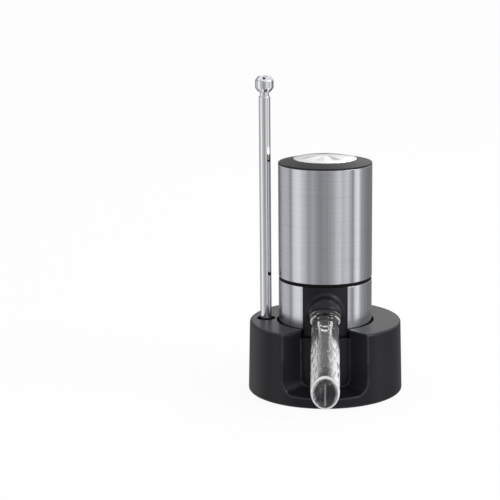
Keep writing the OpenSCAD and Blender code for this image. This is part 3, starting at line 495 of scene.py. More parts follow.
@functools.cache
def spun_steel(tone):
    """Steel turned in fine rings about the axis, with dark wedges of painted reflection in its colour."""
    material, tree = new_finish("spun steel")
    across, along, _ = tree.parts(tree.place())
    radius = (across * across + along * along) ** 0.5
    rings = tree.add(
        "ShaderNodeTexNoise", {"noise_dimensions": "1D"}, {"W": radius, "Scale": 5200.0, "Detail": 3.0}
    )
    clouds = tree.noise(90, 3)
    # Painted reflection: fixed dark wedges round the axis darken the base colour, where turned rings would
    # mirror dark surroundings.
    painted_wedges = 0
    for degrees, strength in ((-60, 1.0), (-103, 0.45), (-154, 0.8)):
        a = math.radians(degrees)
        near = abs(across * math.cos(a) + along * math.sin(a)) / radius
        painted_wedges = tree.between(near, 0.972, 0.998) * strength + painted_wedges
    painted_wedges = painted_wedges * tree.between(radius, 0.5 * MM, 4 * MM) * tree.below(radius, 12 * MM, 18.5 * MM)
    tree.surface(
        Base_Color=tree.blend(rings * 0.3 + 0.72 - painted_wedges * 0.7, tinted(tone, 0.3), tinted(tone, 1.08)),
        Metallic=1.0,
        Roughness=0.13 + rings * 0.08 + clouds * 0.04,
        Anisotropic=0.85,
        Normal=tree.bump(rings, distance=0.006 * MM, strength=0.4),
    )
    return material


@functools.cache
def polished_steel(tone, rough):
    """Polished steel with faint wiping marks along its height and a few duller spots."""
    material, tree = new_finish("polished steel %d" % round(rough * 100))
    place = tree.place()
    wipe = tree.noise(1, 3, tree.stretched((900, 900, 30), place))
    spots = tree.noise(260, 4, place, 0.7)
    tree.surface(
        Base_Color=tree.blend(wipe, tinted(tone, 0.94), tinted(tone, 1.05)),
        Metallic=1.0,
        # The dark specular tint is a painted reflection: it darkens the steel towards its outlines,
        # standing in for dark surroundings mirrored there.
        Specular_Tint=(0.3, 0.3, 0.32),
        Roughness=rough + wipe * 0.05 + tree.between(spots, 0.55, 0.8) * 0.06,
        Normal=tree.bump(wipe, distance=0.002 * MM, strength=0.3),
    )
    return material


@functools.cache
def clear_plastic(tone, bend, slope, mouth, tilt, steps, hooks):
    """Clear moulded plastic with slow waves, its mouth's cut face given a frost.

    Places are distances from the bend: painted glowing rings stand at the steps, and painted broken glints
    at the hooks.
    """
    material, tree = new_finish("clear spout plastic")
    sine, cosine = math.sin(slope), math.cos(slope)
    place = tree.place()
    along = tree.dot((0, -cosine, -sine), place) - (bend[0] * cosine - bend[1] * sine)
    rise = tree.dot((0, -sine, cosine), place) - (bend[0] * sine + bend[1] * cosine)
    across = tree.dot((1, 0, 0), place)
    aside = abs(across)
    radius = (across * across + rise * rise) ** 0.5
    waves = tree.noise(520, 3, place, 0.6) * (0.4 + tree.between(radius, 6.2 * MM, 7 * MM) * 0.6)
    waves = waves * tree.between(along, 13 * MM, 22 * MM)
    haze = tree.noise(900, 3)
    ripples = tree.between(tree.noise(1, 3, tree.stretched((1300, 240, 240), place), 0.6), 0.34, 0.52)
    cut = tree.between(along + rise * math.tan(tilt), mouth - 0.6 * MM, mouth - 0.2 * MM)
    cut = cut * tree.between(radius, 7.1 * MM, 7.7 * MM)
    frost_and_painted_glints = cut
    # Painted highlight: the rings at the socket's steps glow through the emission below.
    for step in steps:
        ring = tree.below(abs(along - step), 0.3 * MM, 0.6 * MM)
        ring = ring * tree.below(radius, 3.8 * MM, 4.2 * MM) * tree.below(rise, -1.2 * MM, 0.2 * MM)
        frost_and_painted_glints = tree.math("MAXIMUM", frost_and_painted_glints, ring)
    # Painted highlight: broken glints at the collar's faces, which glow too.
    for hook in hooks:
        ring = tree.below(abs(along - hook), 0.05 * MM, 0.3 * MM) * ripples * 0.65
        ring = ring * tree.between(radius, 7.6 * MM, 8.2 * MM) * tree.between(aside, 4.5 * MM, 6.5 * MM)
        frost_and_painted_glints = tree.math("MAXIMUM", frost_and_painted_glints, ring)
    # Painted shade darkens the bore behind the mouth, and a painted highlight streaks down its lower wall.
    shade = tree.between(along, mouth - 18 * MM, mouth - 9 * MM) * tree.below(radius, 6.2 * MM, 6.7 * MM)
    painted_streak = shade * tree.below(aside, 0.2 * MM, 0.9 * MM) * tree.below(rise, -3 * MM, -1 * MM) * 0.3
    frost_and_painted_glints = tree.math("MAXIMUM", frost_and_painted_glints, painted_streak)
    facing = tree.add("ShaderNodeLayerWeight", None, {"Blend": 0.5}, out="Facing")
    # Painted highlight: white is mixed in at grazing edges along the spout's lower part.
    rim = tree.between(facing, 0.14, 0.34) * tree.between(along - facing * (8 * MM), 16 * MM, 22 * MM)
    rim = rim * ripples * tree.between(radius, 6.6 * MM, 7.2 * MM) * tree.between(aside, 3 * MM, 4.8 * MM)
    # Painted shade: grazing edges near the collar are darkened in the base colour.
    painted_edge_shade = tree.between(facing, 0.25, 0.5) * tree.below(along, 16 * MM, 26 * MM)
    clear = tree.shader(
        Base_Color=tree.blend(tree.math("MAXIMUM", shade, painted_edge_shade), tone, tinted(tone, 0.3)),
        Transmission_Weight=1.0,
        IOR=1.49,
        Roughness=0.015 + haze * 0.02,
        Normal=tree.bump(waves, distance=0.9 * MM, strength=0.7),
    )
    # The white shader gives the cut face its frost, and its emission makes the painted glints glow.
    bright = tree.shader(
        Base_Color=(0.97, 0.97, 0.98),
        Roughness=0.3,
        Transmission_Weight=0.1,
        IOR=1.49,
        Emission_Color=tree.blend(frost_and_painted_glints - cut, (0, 0, 0), (0.9, 0.9, 0.92)),
        Emission_Strength=0.8,
    )
    amount = tree.math("MAXIMUM", frost_and_painted_glints, rim) * 0.8
    tree.output(tree.add("ShaderNodeMixShader", None, {0: amount, 1: clear, 2: bright}))
    return material


@functools.cache
def cell_wrap():
    """Shrink wrapped cell: tinted film with a soft sheen."""
    return moulded(
        "cell wrap", (0.03, 0.16, 0.12), rough=0.34, grain=700, depth=0.03 * MM, spread=0.08,
        Coat_Weight=0.4, Coat_Roughness=0.15,
    )


@functools.cache
def circuit_green():
    """Circuit board with plain copper runs under its varnish."""
    material, tree = new_finish("circuit board green")
    cells = tree.add("ShaderNodeTexVoronoi", {"feature": "F1", "distance": "MANHATTAN"}, {"Scale": 420.0})
    runs = tree.between(cells * 9 % 1, 0.7, 0.8)
    tree.surface(
        Base_Color=tree.blend(runs, (0.012, 0.085, 0.035), (0.03, 0.16, 0.06)),
        Roughness=0.34 + tree.noise(500, 3) * 0.08,
        Coat_Weight=0.3,
        Normal=tree.bump(runs, distance=0.03 * MM),
    )
    return material


@functools.cache
def lamp_clear():
    """Clear lens of the charging lamp."""
    material, tree = new_finish("lamp lens")
    haze = tree.noise(1500, 2)
    tree.surface(
        Base_Color=(0.86, 0.93, 0.88),
        Transmission_Weight=0.7,
        Roughness=0.22 + haze * 0.1,
        IOR=1.5,
    )
    return material


# Shapes


def round_and(first, second, radius):
    """Where both fields are inside, with the edge between them rounded."""
    inner = np.minimum(-radius, np.maximum(first, second))
    return inner + np.hypot(np.maximum(first + radius, 0), np.maximum(second + radius, 0))


def round_or(first, second, radius):
    """Where either field is inside, with a fillet between them."""
    return -round_and(-first, -second, radius)


def without(body, hole, radius):
    """Where the body is and the hole isn't, with a rounded edge."""
    return round_and(body, -hole, radius)


def all_of(*fields):
    return functools.reduce(np.maximum, fields)


def any_of(*fields):
    return functools.reduce(np.minimum, fields)


def surface_net(field, lo, hi, step):
    """Points and four-sided faces of the field's zero surface: one point in each cell that it crosses."""
    margin = 1.5 * step
    lo = np.asarray(lo, float) - margin
    count = np.ceil((np.asarray(hi) + margin - lo) / step).astype(int) + 1
    axes = [lo[i] + step * np.arange(count[i]) for i in range(3)]
    values = field(np.stack(np.meshgrid(*axes, indexing="ij"), -1).reshape(-1, 3)).reshape(count)
    cells = count - 1
    rings, points = [], []
    for axis in range(3):
        b, c = (axis + 1) % 3, (axis + 2) % 3
        first = values[tuple(slice(0, -1) if i == axis else slice(None) for i in range(3))]
        second = values[tuple(slice(1, None) if i == axis else slice(None) for i in range(3))]
        at = np.argwhere((first < 0) != (second < 0))
        start, end = first[tuple(at.T)], second[tuple(at.T)]
        point = lo + at * step
        point[:, axis] += step * start / (start - end)
        around = []
        for shift in ((-1, -1), (0, -1), (0, 0), (-1, 0)):
            cell = at.copy()
            cell[:, b] += shift[0]
            cell[:, c] += shift[1]
            around.append(np.ravel_multi_index(tuple(cell.T), cells))
        around = np.stack(around, 1)
        around[start > 0] = around[start > 0][:, ::-1]
        rings.append(around)
        points.append(np.repeat(point, 4, axis=0))
    rings = np.vstack(rings)
    points = np.vstack(points)
    _, back = np.unique(rings.ravel(), return_inverse=True)
    hits = np.bincount(back)
    verts = np.stack([np.bincount(back, points[:, i]) / hits for i in range(3)], 1)
    return verts, back.reshape(-1, 4)


def field_slope(field, points, reach=0.04 * MM):
    """How fast the field grows along each axis, measured across twice the reach."""
    steps = np.eye(3) * reach
    return np.stack([(field(points + s) - field(points - s)) / (2 * reach) for s in steps], 1)


def settled(field, points, rounds=4):
    """The points, moved onto the field's zero surface."""
    longest, flattest = 0.4 * MM, 0.05
    for _ in range(rounds):
        slope = field_slope(field, points)
        away = field(points) / np.maximum((slope ** 2).sum(1), flattest)
        points = points - slope * np.clip(away, -longest, longest)[:, None]
    return points


def mesh_from(name, verts, faces):
    mesh = bpy.data.meshes.new(name)
    mesh.from_pydata([tuple(v) for v in verts], [], [tuple(f) for f in faces])
    mesh.update()
    return mesh


def reshaped(mesh, modifier, **settings):
    """A copy of the mesh with one modifier applied."""
    helper = bpy.data.objects.new("helper", mesh)
    bpy.context.scene.collection.objects.link(helper)
    change = helper.modifiers.new("change", modifier)
    for name, value in settings.items():
        setattr(change, name, value)
    seen = helper.evaluated_get(bpy.context.evaluated_depsgraph_get())
    made = bpy.data.meshes.new_from_object(seen)
    bpy.data.objects.remove(helper)
    name = mesh.name
    bpy.data.meshes.remove(mesh)
    made.name = name
    return made


def field_mesh(name, field, lo, hi, step, keep=0.35):
    """A mesh of the field's zero surface, thinned where it is flat, with normals taken from the field."""
    verts, faces = surface_net(field, lo, hi, step)
    mesh = reshaped(mesh_from(name, settled(field, verts), faces), "DECIMATE", ratio=keep)
    points = np.empty(len(mesh.vertices) * 3)
    mesh.vertices.foreach_get("co", points)
    points = settled(field, points.reshape(-1, 3))
    mesh.vertices.foreach_set("co", points.ravel())
    slope = field_slope(field, points, 0.12 * MM)
    slope /= np.maximum(np.linalg.norm(slope, axis=1), 1e-9)[:, None]
    mesh.shade_smooth()
    mesh.update()
    mesh.normals_split_custom_set_from_vertices(slope.tolist())
    return mesh


def filleted(outline, steps=5):
    """The outline's points, with each corner that has a radius turned into an arc."""
    points = []
    count = len(outline)
    for index, corner in enumerate(outline):
        radius = corner[2] if len(corner) > 2 else 0
        here = Vector(corner[:2])
        if not radius:
            points.append(tuple(here))
            continue
        before = (Vector(outline[index - 1][:2]) - here).normalized()
        after = (Vector(outline[(index + 1) % count][:2]) - here).normalized()
        half = before.angle(after) / 2
        centre = here + (before + after).normalized() * radius / math.sin(half)
        start = here + before * radius / math.tan(half) - centre
        end = here + after * radius / math.tan(half) - centre
        first = math.atan2(start.y, start.x)
        sweep = (math.atan2(end.y, end.x) - first + math.pi) % (2 * math.pi) - math.pi
        for step in range(steps + 1):
            a = first + sweep * step / steps
            points.append((centre.x + radius * math.cos(a), centre.y + radius * math.sin(a)))
    return points


def turned(name, outline, start=0.0, end=2 * math.pi, segments=192, x=0.0, y=0.0, bend=None):
    """A closed outline of (radius, height, corner radius) turned about the upright through x, y."""
    points = filleted(outline)
    whole = end - start == 2 * math.pi
    count = segments if whole else segments + 1
    verts = []
    for i in range(count):
        a = start + (end - start) * i / segments
        for r, z in points:
            verts.append((x + r * math.cos(a), y + r * math.sin(a), z))
    size = len(points)
    faces = []
    for i in range(segments):
        for j in range(size):
            one, two = i * size, (i + 1) % count * size
            k = (j + 1) % size
            faces.append((one + j, two + j, two + k, one + k))
    if not whole:
        faces.append(tuple(range(size)))
        faces.append(tuple(reversed(range(segments * size, count * size))))
    mesh = mesh_from(name, verts if bend is None else [bend(v) for v in verts], faces)
    work = bmesh.new()
    work.from_mesh(mesh)
    bmesh.ops.remove_doubles(work, verts=work.verts, dist=1e-7)
    bmesh.ops.recalc_face_normals(work, faces=work.faces)
    work.to_mesh(mesh)
    work.free()
    return mesh


def sleeve(name, lo, hi, thickness, **turning):
    """A rolled sleeve with soft edges, between the lowest and the highest corner of its node."""
    outer = hi[0]
    inner = outer - thickness
    corners = ((inner, lo[2]), (outer, lo[2]), (outer, hi[2]), (inner, hi[2]))
    return turned(name, [(*corner, ROLLED_EDGE) for corner in corners], **turning)


def oval(x, z, wide, tall, count, first=0.0):
    """Points round an oval that reaches wide and tall from its middle."""
    turns = [first + 2 * math.pi * i / count for i in range(count)]
    return [(x + wide * math.cos(a), z + tall * math.sin(a)) for a in turns]


def prism(name, outline, y0, y1):
    """An outline of (x, z) pulled along y."""
    count = len(outline)
    verts = [(x, y, z) for y in (y0, y1) for x, z in outline]
    faces = [tuple(range(count)), tuple(reversed(range(count, 2 * count)))]
    faces += [(i, count + i, count + (i + 1) % count, (i + 1) % count) for i in range(count)]
    return mesh_from(name, verts, faces)


def smooth(piece, edge=32):
    """Smooth shading that keeps the piece's hard edges."""
    piece.data.shade_smooth()
    piece.data.set_sharp_from_angle(angle=math.radians(edge))
    piece.modifiers.new("even shading", "WEIGHTED_NORMAL").keep_sharp = True


def add_piece(mesh, body, finish, nodes, edge=32):
    """Puts a piece into the scene, on its body, in place of its nodes."""
    piece = bpy.data.objects.new(mesh.name, mesh)
    bpy.context.scene.collection.objects.link(piece)
    mesh.materials.clear()
    mesh.materials.append(finish)
    if edge:
        smooth(piece, edge)
    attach(piece, body)
    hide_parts(*nodes)


def finish_nodes(finish, *nodes):
    """Gives carried-over nodes their finish."""
    for node in nodes:
        piece = frame["nodes"][node]
        if not piece.material_slots:
            raise RuntimeError("no material slot on " + node)
        for slot in piece.material_slots:
            slot.link = "OBJECT"
            slot.material = finish


# Pieces


def scoop_field(x, y, z, base):
    """The scoop's walls, and its room: a splayed channel with round corners, open in front and above."""
    depth, room_start = -y, 20 * MM
    throat = math.sqrt(LINER_HI[0] ** 2 - (base.throat_width / 2) ** 2)
    run = base.foot_radius - throat
    gone = np.maximum(depth - throat, 0)
    spread = (base.lip_round - base.throat_round) / run
    fall = (base.throat_floor - base.lip_floor) / run
    half = base.throat_width / 2 + gone * math.tan(base.splay)
    floor = base.throat_floor - gone * fall
    corner = base.throat_round + gone * spread
    qx = np.abs(x) - half + corner
    qz = floor + corner - z
    px, pz = np.maximum(qx, 0), np.maximum(qz, 0)
    far = np.hypot(px, pz)
    section = far + np.minimum(np.maximum(qx, qz), 0) - corner
    safe = np.maximum(far, 1e-9)
    nx = np.where(far > 0, px / safe, qx > qz)
    nz = np.where(far > 0, pz / safe, qx <= qz)
    change = -nx * (math.tan(base.splay) - spread) + nz * (spread - fall) - spread
    section = section / np.sqrt(1 + np.where(gone > 0, change, 0) ** 2)
    outside = any_of(LINER_HI[0] + GAP - np.hypot(x, y), LEDGE - z)
    return section, all_of(section, outside, room_start - depth)


def base_field(points, base):
    """The base's body: below zero inside it, as in all these fields."""
    x, y, z = points.T
    radius = np.hypot(x, y)
    height, cup = BASE_HI[2], LINER_HI[0]
    lean = (base.foot_radius - base.top_radius) / height
    wall = (radius - base.top_radius - lean * (height - z)) / math.hypot(1, lean)
    body = round_and(wall, z - height, base.top_round)
    body = round_and(body, BASE_LO[2] - z, base.foot_round)
    recess = all_of(radius - base.recess_radius, LEDGE - base.recess_sink - z)
    body = without(body, recess, base.hole_round)
    walls, room = scoop_field(x, y, z, base)
    body = without(body, room, base.edge_round)
    bead_stand, bead_start = 0.2 * MM, 15 * MM
    bead = np.hypot(walls, radius - cup - bead_stand) - base.bead
    bead = all_of(bead, y + bead_start, z - LEDGE + base.hole_round)
    body = round_or(body, bead, bead_stand)
    seat = base.cup_floor - base.liner_wall - GAP
    body = without(body, all_of(radius - cup - GAP, z - LEDGE - GAP, seat - z), MOULDED_EDGE)
    cone = np.clip((z - base.cone_foot) / (base.cone_top - base.cone_foot), 0, 1)
    well = base.well_throat + (base.well_radius - base.well_throat) * cone
    well = np.hypot(x - TUBE_X, y - TUBE_Y) - well
    body = without(body, all_of(well, base.well_floor - z), base.hole_round)
    cup_hollow = all_of(radius - base.cup_hollow, z - base.cup_hollow_top)
    cover_hollow = all_of(radius - base.cover_hollow, z - base.cover_hollow_top)
    return without(body, any_of(cup_hollow, cover_hollow), MOULDED_EDGE)


def foot_field(points, tube):
    """The inlet foot, with two chamfers, a sunk inlet and three grooves from its middle outwards."""
    x, y, z = points.T
    x, y = x - TUBE_X, y - TUBE_Y
    radius = np.hypot(x, y)
    lo, hi = FOOT_LO[2], FOOT_HI[2]
    wide = (FOOT_HI[0] - FOOT_LO[0]) / 2
    root_share = 1.3
    bore_edge, groove_edge = 0.2 * MM, 0.25 * MM
    body = round_and(radius - wide, np.abs(z - (lo + hi) / 2) - (hi - lo) / 2, ROLLED_EDGE)
    for edge, start, tip in ((hi, -1, tube.foot_crown), (lo, 1, SLIDER_RADIUS * root_share)):
        slope = (wide - tip) / tube.foot_chamfer
        cone = (radius - tip - slope * (z - edge) * start) / math.hypot(1, slope)
        body = round_and(body, cone, MOULDED_EDGE)
    inlet = all_of(radius - tube.inlet_radius, hi - tube.inlet_depth - z)
    seat = all_of(radius - SLIDER_RADIUS - GAP / 2, z - lo - tube.foot_seat)
    body = without(body, inlet, MOULDED_EDGE)
    body = without(body, radius - tube.foot_bore, bore_edge)
    body = without(body, seat, bore_edge)
    for turn in range(3):
        a = math.radians(270 + 120 * turn)
        along = x * math.cos(a) + y * math.sin(a)
        across = -x * math.sin(a) + y * math.cos(a)
        groove = all_of(np.abs(across) - tube.groove_width / 2, -along, hi - tube.groove_depth - z)
        body = without(body, groove, groove_edge)
    return body


def spout_axes(y, z, head, spout):
    """Distances behind the bend and over the boss's axis, then along and over the spout's axis."""
    back, up = y + head.bend_reach, z - head.boss_height
    sine, cosine = math.sin(spout.slope), math.cos(spout.slope)
    return back, up, -back * cosine - up * sine, -back * sine + up * cosine


def off_axis(x, rise, along):
    """Distance from a straight axis that starts at zero and runs on from there."""
    return np.sqrt(x ** 2 + rise ** 2 + np.minimum(along, 0) ** 2)


def head_field(points, head, spout):
    """The pouring head: barrel, front panel, skirt and the boss, which bends down to the spout."""
    x, y, z = points.T
    radius = np.hypot(x, y)
    lo, hi = LOWER_LO[2], LOWER_HI[2]
    ends = np.abs(z - (lo + hi) / 2) - (hi - lo) / 2
    side = np.abs(x) * math.cos(head.panel_half_angle) + y * math.sin(head.panel_half_angle)
    panel = round_and(radius - head.panel_radius, side, MOULDED_EDGE)
    panel = round_and(panel, ends, MOULDED_EDGE)
    back, up, along, rise = spout_axes(y, z, head, spout)
    fine_edge, boss_edge, boss_start, boss_stand = 0.2 * MM, 0.4 * MM, 20 * MM, 0.03 * MM
    collar_gap, fine_gap, skirt_foot = 0.25 * MM, GAP / 2, 1 * MM
    boss = off_axis(x, up, back) - head.boss_radius
    boss = all_of(round_and(boss, along - spout.start - boss_stand, boss_edge), y + boss_start)
    barrel = all_of(radius - head.housing_radius, ends)
    body = round_or(any_of(barrel, panel), boss, head.root_round)
    body = any_of(body, all_of(radius - head.skirt_radius, LEDGE - z, z - lo - skirt_foot))
    deck = LEDGE + head.deck_lift
    for hollow in (
        all_of(radius - head.lower_bore, z - deck),
        all_of(radius - head.upper_bore, deck - GAP - z),
        all_of(radius - head.lock_bore, hi - head.lock_depth - z),
        all_of(np.hypot(x, rise) - spout.collar_radius - collar_gap, spout.start + fine_gap - along),
    ):
        body = all_of(body, -hollow)
    nozzle = off_axis(x, rise, along) - spout.nozzle_radius - fine_gap
    stem = all_of(np.hypot(x, up) - spout.stem_radius - GAP, -back, y + boss_start)
    return without(body, any_of(nozzle, stem), fine_edge)


def nozzle_field(points, head, spout):
    """The bent nozzle, with its stem in the boss and its tip in the spout."""
    x, y, z = points.T
    back, up, along, rise = spout_axes(y, z, head, spout)
    fine_edge, bend_round, tip_round = 0.2 * MM, 0.4 * MM, 0.5 * MM
    off, stem_off = off_axis(x, rise, along), np.hypot(x, up)
    tip = round_and(off - spout.nozzle_radius, along - spout.nozzle_reach, tip_round)
    stem = all_of(stem_off - spout.stem_radius, -back, back - spout.stem_length)
    bore = any_of(all_of(stem_off, -back), off) - spout.nozzle_bore
    return without(round_or(tip, stem, bend_round), bore, fine_edge)


def spout_bend(head, spout):
    """Takes a point turned about the spout's axis to its place on the head."""
    sine, cosine = math.sin(spout.slope), math.cos(spout.slope)
    mouth_depth = 2 * MM
    mouth = spout.reach - mouth_depth

    def bend(point):
        x, rise, along = point
        if along > mouth:
            along -= rise * math.tan(spout.mouth_tilt)
        return (
            x,
            -head.bend_reach - rise * sine - along * cosine,
            head.boss_height + rise * cosine - along * sine,
        )

    return bend


class AERATOR_OT_base_body(bpy.types.Operator):
    """Moulds the round base with its recess, scoop and tube well"""

    bl_idname = "aerator.base_body"
    bl_label = "Base body"

    def execute(self, context):
        base = context.scene.aerator_base
        mesh = field_mesh("base_body", lambda p: base_field(p, base), BASE_LO, BASE_HI, step=0.6 * MM)
        add_piece(mesh, "base", base_black(tuple(base.colour)), ["base_shell"], edge=0)
        return {"FINISHED"}


class AERATOR_OT_cup_liner(bpy.types.Operator):
    """Turns the cup that the aerator's skirt hangs in"""

    bl_idname = "aerator.cup_liner"
    bl_label = "Cup liner"

    def execute(self, context):
        base = context.scene.aerator_base
        outer, bore, low = LINER_HI[0], base.liner_bore, LINER_LO[2]
        under, foot = base.cup_floor - base.liner_wall, bore - base.liner_wall
        rim_round, floor_round = 0.5 * MM, 1.5 * MM
        outline = [
            (0, under), (foot, under), (foot, low), (bore, low), (bore, under), (outer, under),
            (outer, LEDGE, rim_round), (bore, LEDGE, rim_round),
            (bore, base.cup_floor, floor_round), (0, base.cup_floor),
        ]
        mesh = turned("cup_wall", outline)
        add_piece(mesh, "base", cup_black(tuple(base.colour)), ["cup_liner"])
        return {"FINISHED"}


class AERATOR_OT_base_underside(bpy.types.Operator):
    """Finishes the base's cover, its pad and its screws"""

    bl_idname = "aerator.base_underside"
    bl_label = "Base underside"

    def execute(self, context):
        finish_nodes(inner_black(), "base_cover")
        finish_nodes(rubber("black rubber", 0.012), "base_pad")
        finish_nodes(polished_steel((0.5, 0.5, 0.51), 0.28), "base_screws")
        return {"FINISHED"}


class AERATOR_OT_draw_tubes(bpy.types.Operator):
    """Rolls the fixed tube and the sliding tube"""

    bl_idname = "aerator.draw_tubes"
    bl_label = "Draw tubes"

    def execute(self, context):
        tube = context.scene.aerator_tube
        steel = polished_steel(tuple(tube.colour), 0.05)
        low, top = TUBE_LO[2], TUBE_HI[2]
        lip, soft, lip_round = SLIDER_RADIUS + GAP, 0.1 * MM, 0.45 * MM
        outline = [
            (tube.bore, low), (TUBE_RADIUS, low, soft), (TUBE_RADIUS, top, lip_round), (lip, top, soft),
            (lip, top - tube.lip_height / 2), (tube.bore, top - tube.lip_height),
        ]
        mesh = turned("tube_fixed", outline, segments=96, x=TUBE_X, y=TUBE_Y)
        add_piece(mesh, "outer_tube", steel, ["draw_tube"])
        low, top = SLIDER_LO[2], SLIDER_HI[2]
        bore = SLIDER_RADIUS - tube.slider_wall
        outline = [(bore, low), (SLIDER_RADIUS, low, soft), (SLIDER_RADIUS, top, soft), (bore, top)]
        mesh = turned("tube_sliding", outline, segments=96, x=TUBE_X, y=TUBE_Y)
        add_piece(mesh, "inner_tube", steel, ["sliding_tube"])
        finish_nodes(natural_plastic(), "tube_bush")
        return {"FINISHED"}


class AERATOR_OT_inlet_foot(bpy.types.Operator):
    """Cuts the metal inlet foot with its chamfers and grooves"""

    bl_idname = "aerator.inlet_foot"
    bl_label = "Inlet foot"

    def execute(self, context):
        tube = context.scene.aerator_tube
        mesh = field_mesh(
            "tube_foot", lambda p: foot_field(p, tube), FOOT_LO, FOOT_HI, step=0.14 * MM, keep=0.6
        )
        steel = polished_steel(tuple(tube.colour), 0.04)
        add_piece(mesh, "inner_tube", steel, ["inlet_foot"], edge=0)
        return {"FINISHED"}


class AERATOR_OT_pouring_head(bpy.types.Operator):
    """Moulds the pouring head with its front panel and the bent boss"""

    bl_idname = "aerator.pouring_head"
    bl_label = "Pouring head"

    def execute(self, context):
        head, spout = context.scene.aerator_head, context.scene.aerator_spout
        mesh = field_mesh(
            "pouring_head", lambda p: head_field(p, head, spout), HOUSING_LO, HOUSING_HI,
            step=0.45 * MM, keep=0.3,
        )
        add_piece(mesh, "pour_head", head_black(tuple(head.colour)), ["head_housing"], edge=0)
        return {"FINISHED"}


class AERATOR_OT_lower_sleeve(bpy.types.Operator):
    """Rolls the lower steel sleeve, open at the front panel"""

    bl_idname = "aerator.lower_sleeve"
    bl_label = "Lower sleeve"

    def execute(self, context):
        head, unit = context.scene.aerator_head, context.scene.aerator_unit
        gap = head.panel_half_angle + head.sleeve_gap_angle
        front = math.radians(270)
        mesh = sleeve(
            "steel_sleeve_lower", LOWER_LO, LOWER_HI, unit.sleeve_thickness,
            start=front + gap, end=front + 2 * math.pi - gap,
        )
        add_piece(mesh, "pour_head", brushed_steel(tuple(unit.steel)), ["head_sleeve"])
        return {"FINISHED"}


class AERATOR_OT_head_fittings(bpy.types.Operator):
    """Finishes the stopper, the grommet and seal, the inlet fitting, the hose and the neck guide"""

    bl_idname = "aerator.head_fittings"
    bl_label = "Head fittings"

    def execute(self, context):
        grey = rubber("grey rubber", 0.05)
        finish_nodes(grey, "bottle_stopper", "inlet_grommet", "air_port_seal")
        finish_nodes(natural_plastic(), "inlet_fitting")
        finish_nodes(hose_silicone(), "wine_hose")
        finish_nodes(head_black(tuple(context.scene.aerator_head.colour)), "neck_guide")
        return {"FINISHED"}


class AERATOR_OT_nozzle(bpy.types.Operator):
    """Moulds the black nozzle inside the clear spout, with its sealing ring"""

    bl_idname = "aerator.nozzle"
    bl_label = "Nozzle"

    def execute(self, context):
        head, spout = context.scene.aerator_head, context.scene.aerator_spout
        lo, hi = node_box("spout_nozzle")
        stem_room = 3 * MM
        lo = np.array(lo) - stem_room
        mesh = field_mesh(
            "nozzle_tube", lambda p: nozzle_field(p, head, spout), lo, hi, step=0.3 * MM, keep=0.5
        )
        add_piece(mesh, "pour_head", head_black(tuple(head.colour)), ["spout_nozzle"], edge=0)
        wire = 0.2 * MM
        outline = oval(spout.nozzle_radius - GAP, spout.ring_place, wire, -2 * wire, 12)
        mesh = turned("nozzle_ring", outline, segments=64, bend=spout_bend(head, spout))
        black = rubber("black rubber", 0.012)
        add_piece(mesh, "pour_head", black, ["spout_o_ring"], edge=60)
        return {"FINISHED"}


class AERATOR_OT_clear_spout(bpy.types.Operator):
    """Moulds the clear spout with its collar, socket, flaring bore and slanted mouth"""

    bl_idname = "aerator.clear_spout"
    bl_label = "Clear spout"

    def execute(self, context):
        head, spout = context.scene.aerator_head, context.scene.aerator_spout
        start, collar = spout.start, spout.collar_radius
        collar_end = start + spout.collar_length
        bore_start = start + spout.socket_depth
        mouth, bore, reach = spout.mouth_radius, spout.mouth_bore, spout.reach
        socket, throat = spout.socket_radius, spout.throat_radius
        groove, groove_depth, waist_share = 0.7 * MM, 0.3 * MM, 1.15
        ring_stand, throat_length, mouth_depth = 0.7 * MM, 3 * MM, 3 * MM
        taper_end, straight_start = start + 25 * MM, reach - 8.5 * MM
        collar_round, lip_round, edge_round, fine_edge = 0.6 * MM, 0.9 * MM, 0.6 * MM, 0.2 * MM
        soft_bend, flare_bend = 4 * MM, 6 * MM
        outline = [
            (socket, start, 0.3 * MM), (collar, start, collar_round),
            (collar, collar_end, collar_round), (spout.neck_radius, collar_end, 0.4 * MM),
            (mouth, taper_end, soft_bend), (mouth, straight_start), (mouth, reach, lip_round),
            (bore, reach, edge_round), (bore, reach - mouth_depth, soft_bend),
            (throat * waist_share, spout.flare_start, flare_bend), (throat, bore_start + throat_length),
            (throat, bore_start, fine_edge), (socket, bore_start, fine_edge),
            (socket, spout.ring_place + groove), (socket + groove_depth, spout.ring_place),
            (socket, spout.ring_place - groove),
        ]
        mesh = turned("clear_spout", outline, segments=160, bend=spout_bend(head, spout))
        finish = clear_plastic(
            tuple(spout.colour), (head.bend_reach, head.boss_height), spout.slope, reach,
            spout.mouth_tilt, (spout.nozzle_reach + ring_stand, bore_start),
            (start + ring_stand, collar_end),
        )
        add_piece(mesh, "spout", finish, ["pour_spout"])
        return {"FINISHED"}


class AERATOR_OT_seam_ring(bpy.types.Operator):
    """Turns the thin black ring between head and motor unit"""

    bl_idname = "aerator.seam_ring"
    bl_label = "Seam ring"

    def execute(self, context):
        unit = context.scene.aerator_unit
        low, top, outer, soft = SEAM_LO[2], SEAM_HI[2], SEAM_HI[0], 0.2 * MM
        outline = [(unit.seam_bore, low), (outer, low, soft), (outer, top, soft), (unit.seam_bore, top)]
        add_piece(turned("seam_band", outline), "motor_unit", seam_black(), ["seam_ring"])
        return {"FINISHED"}


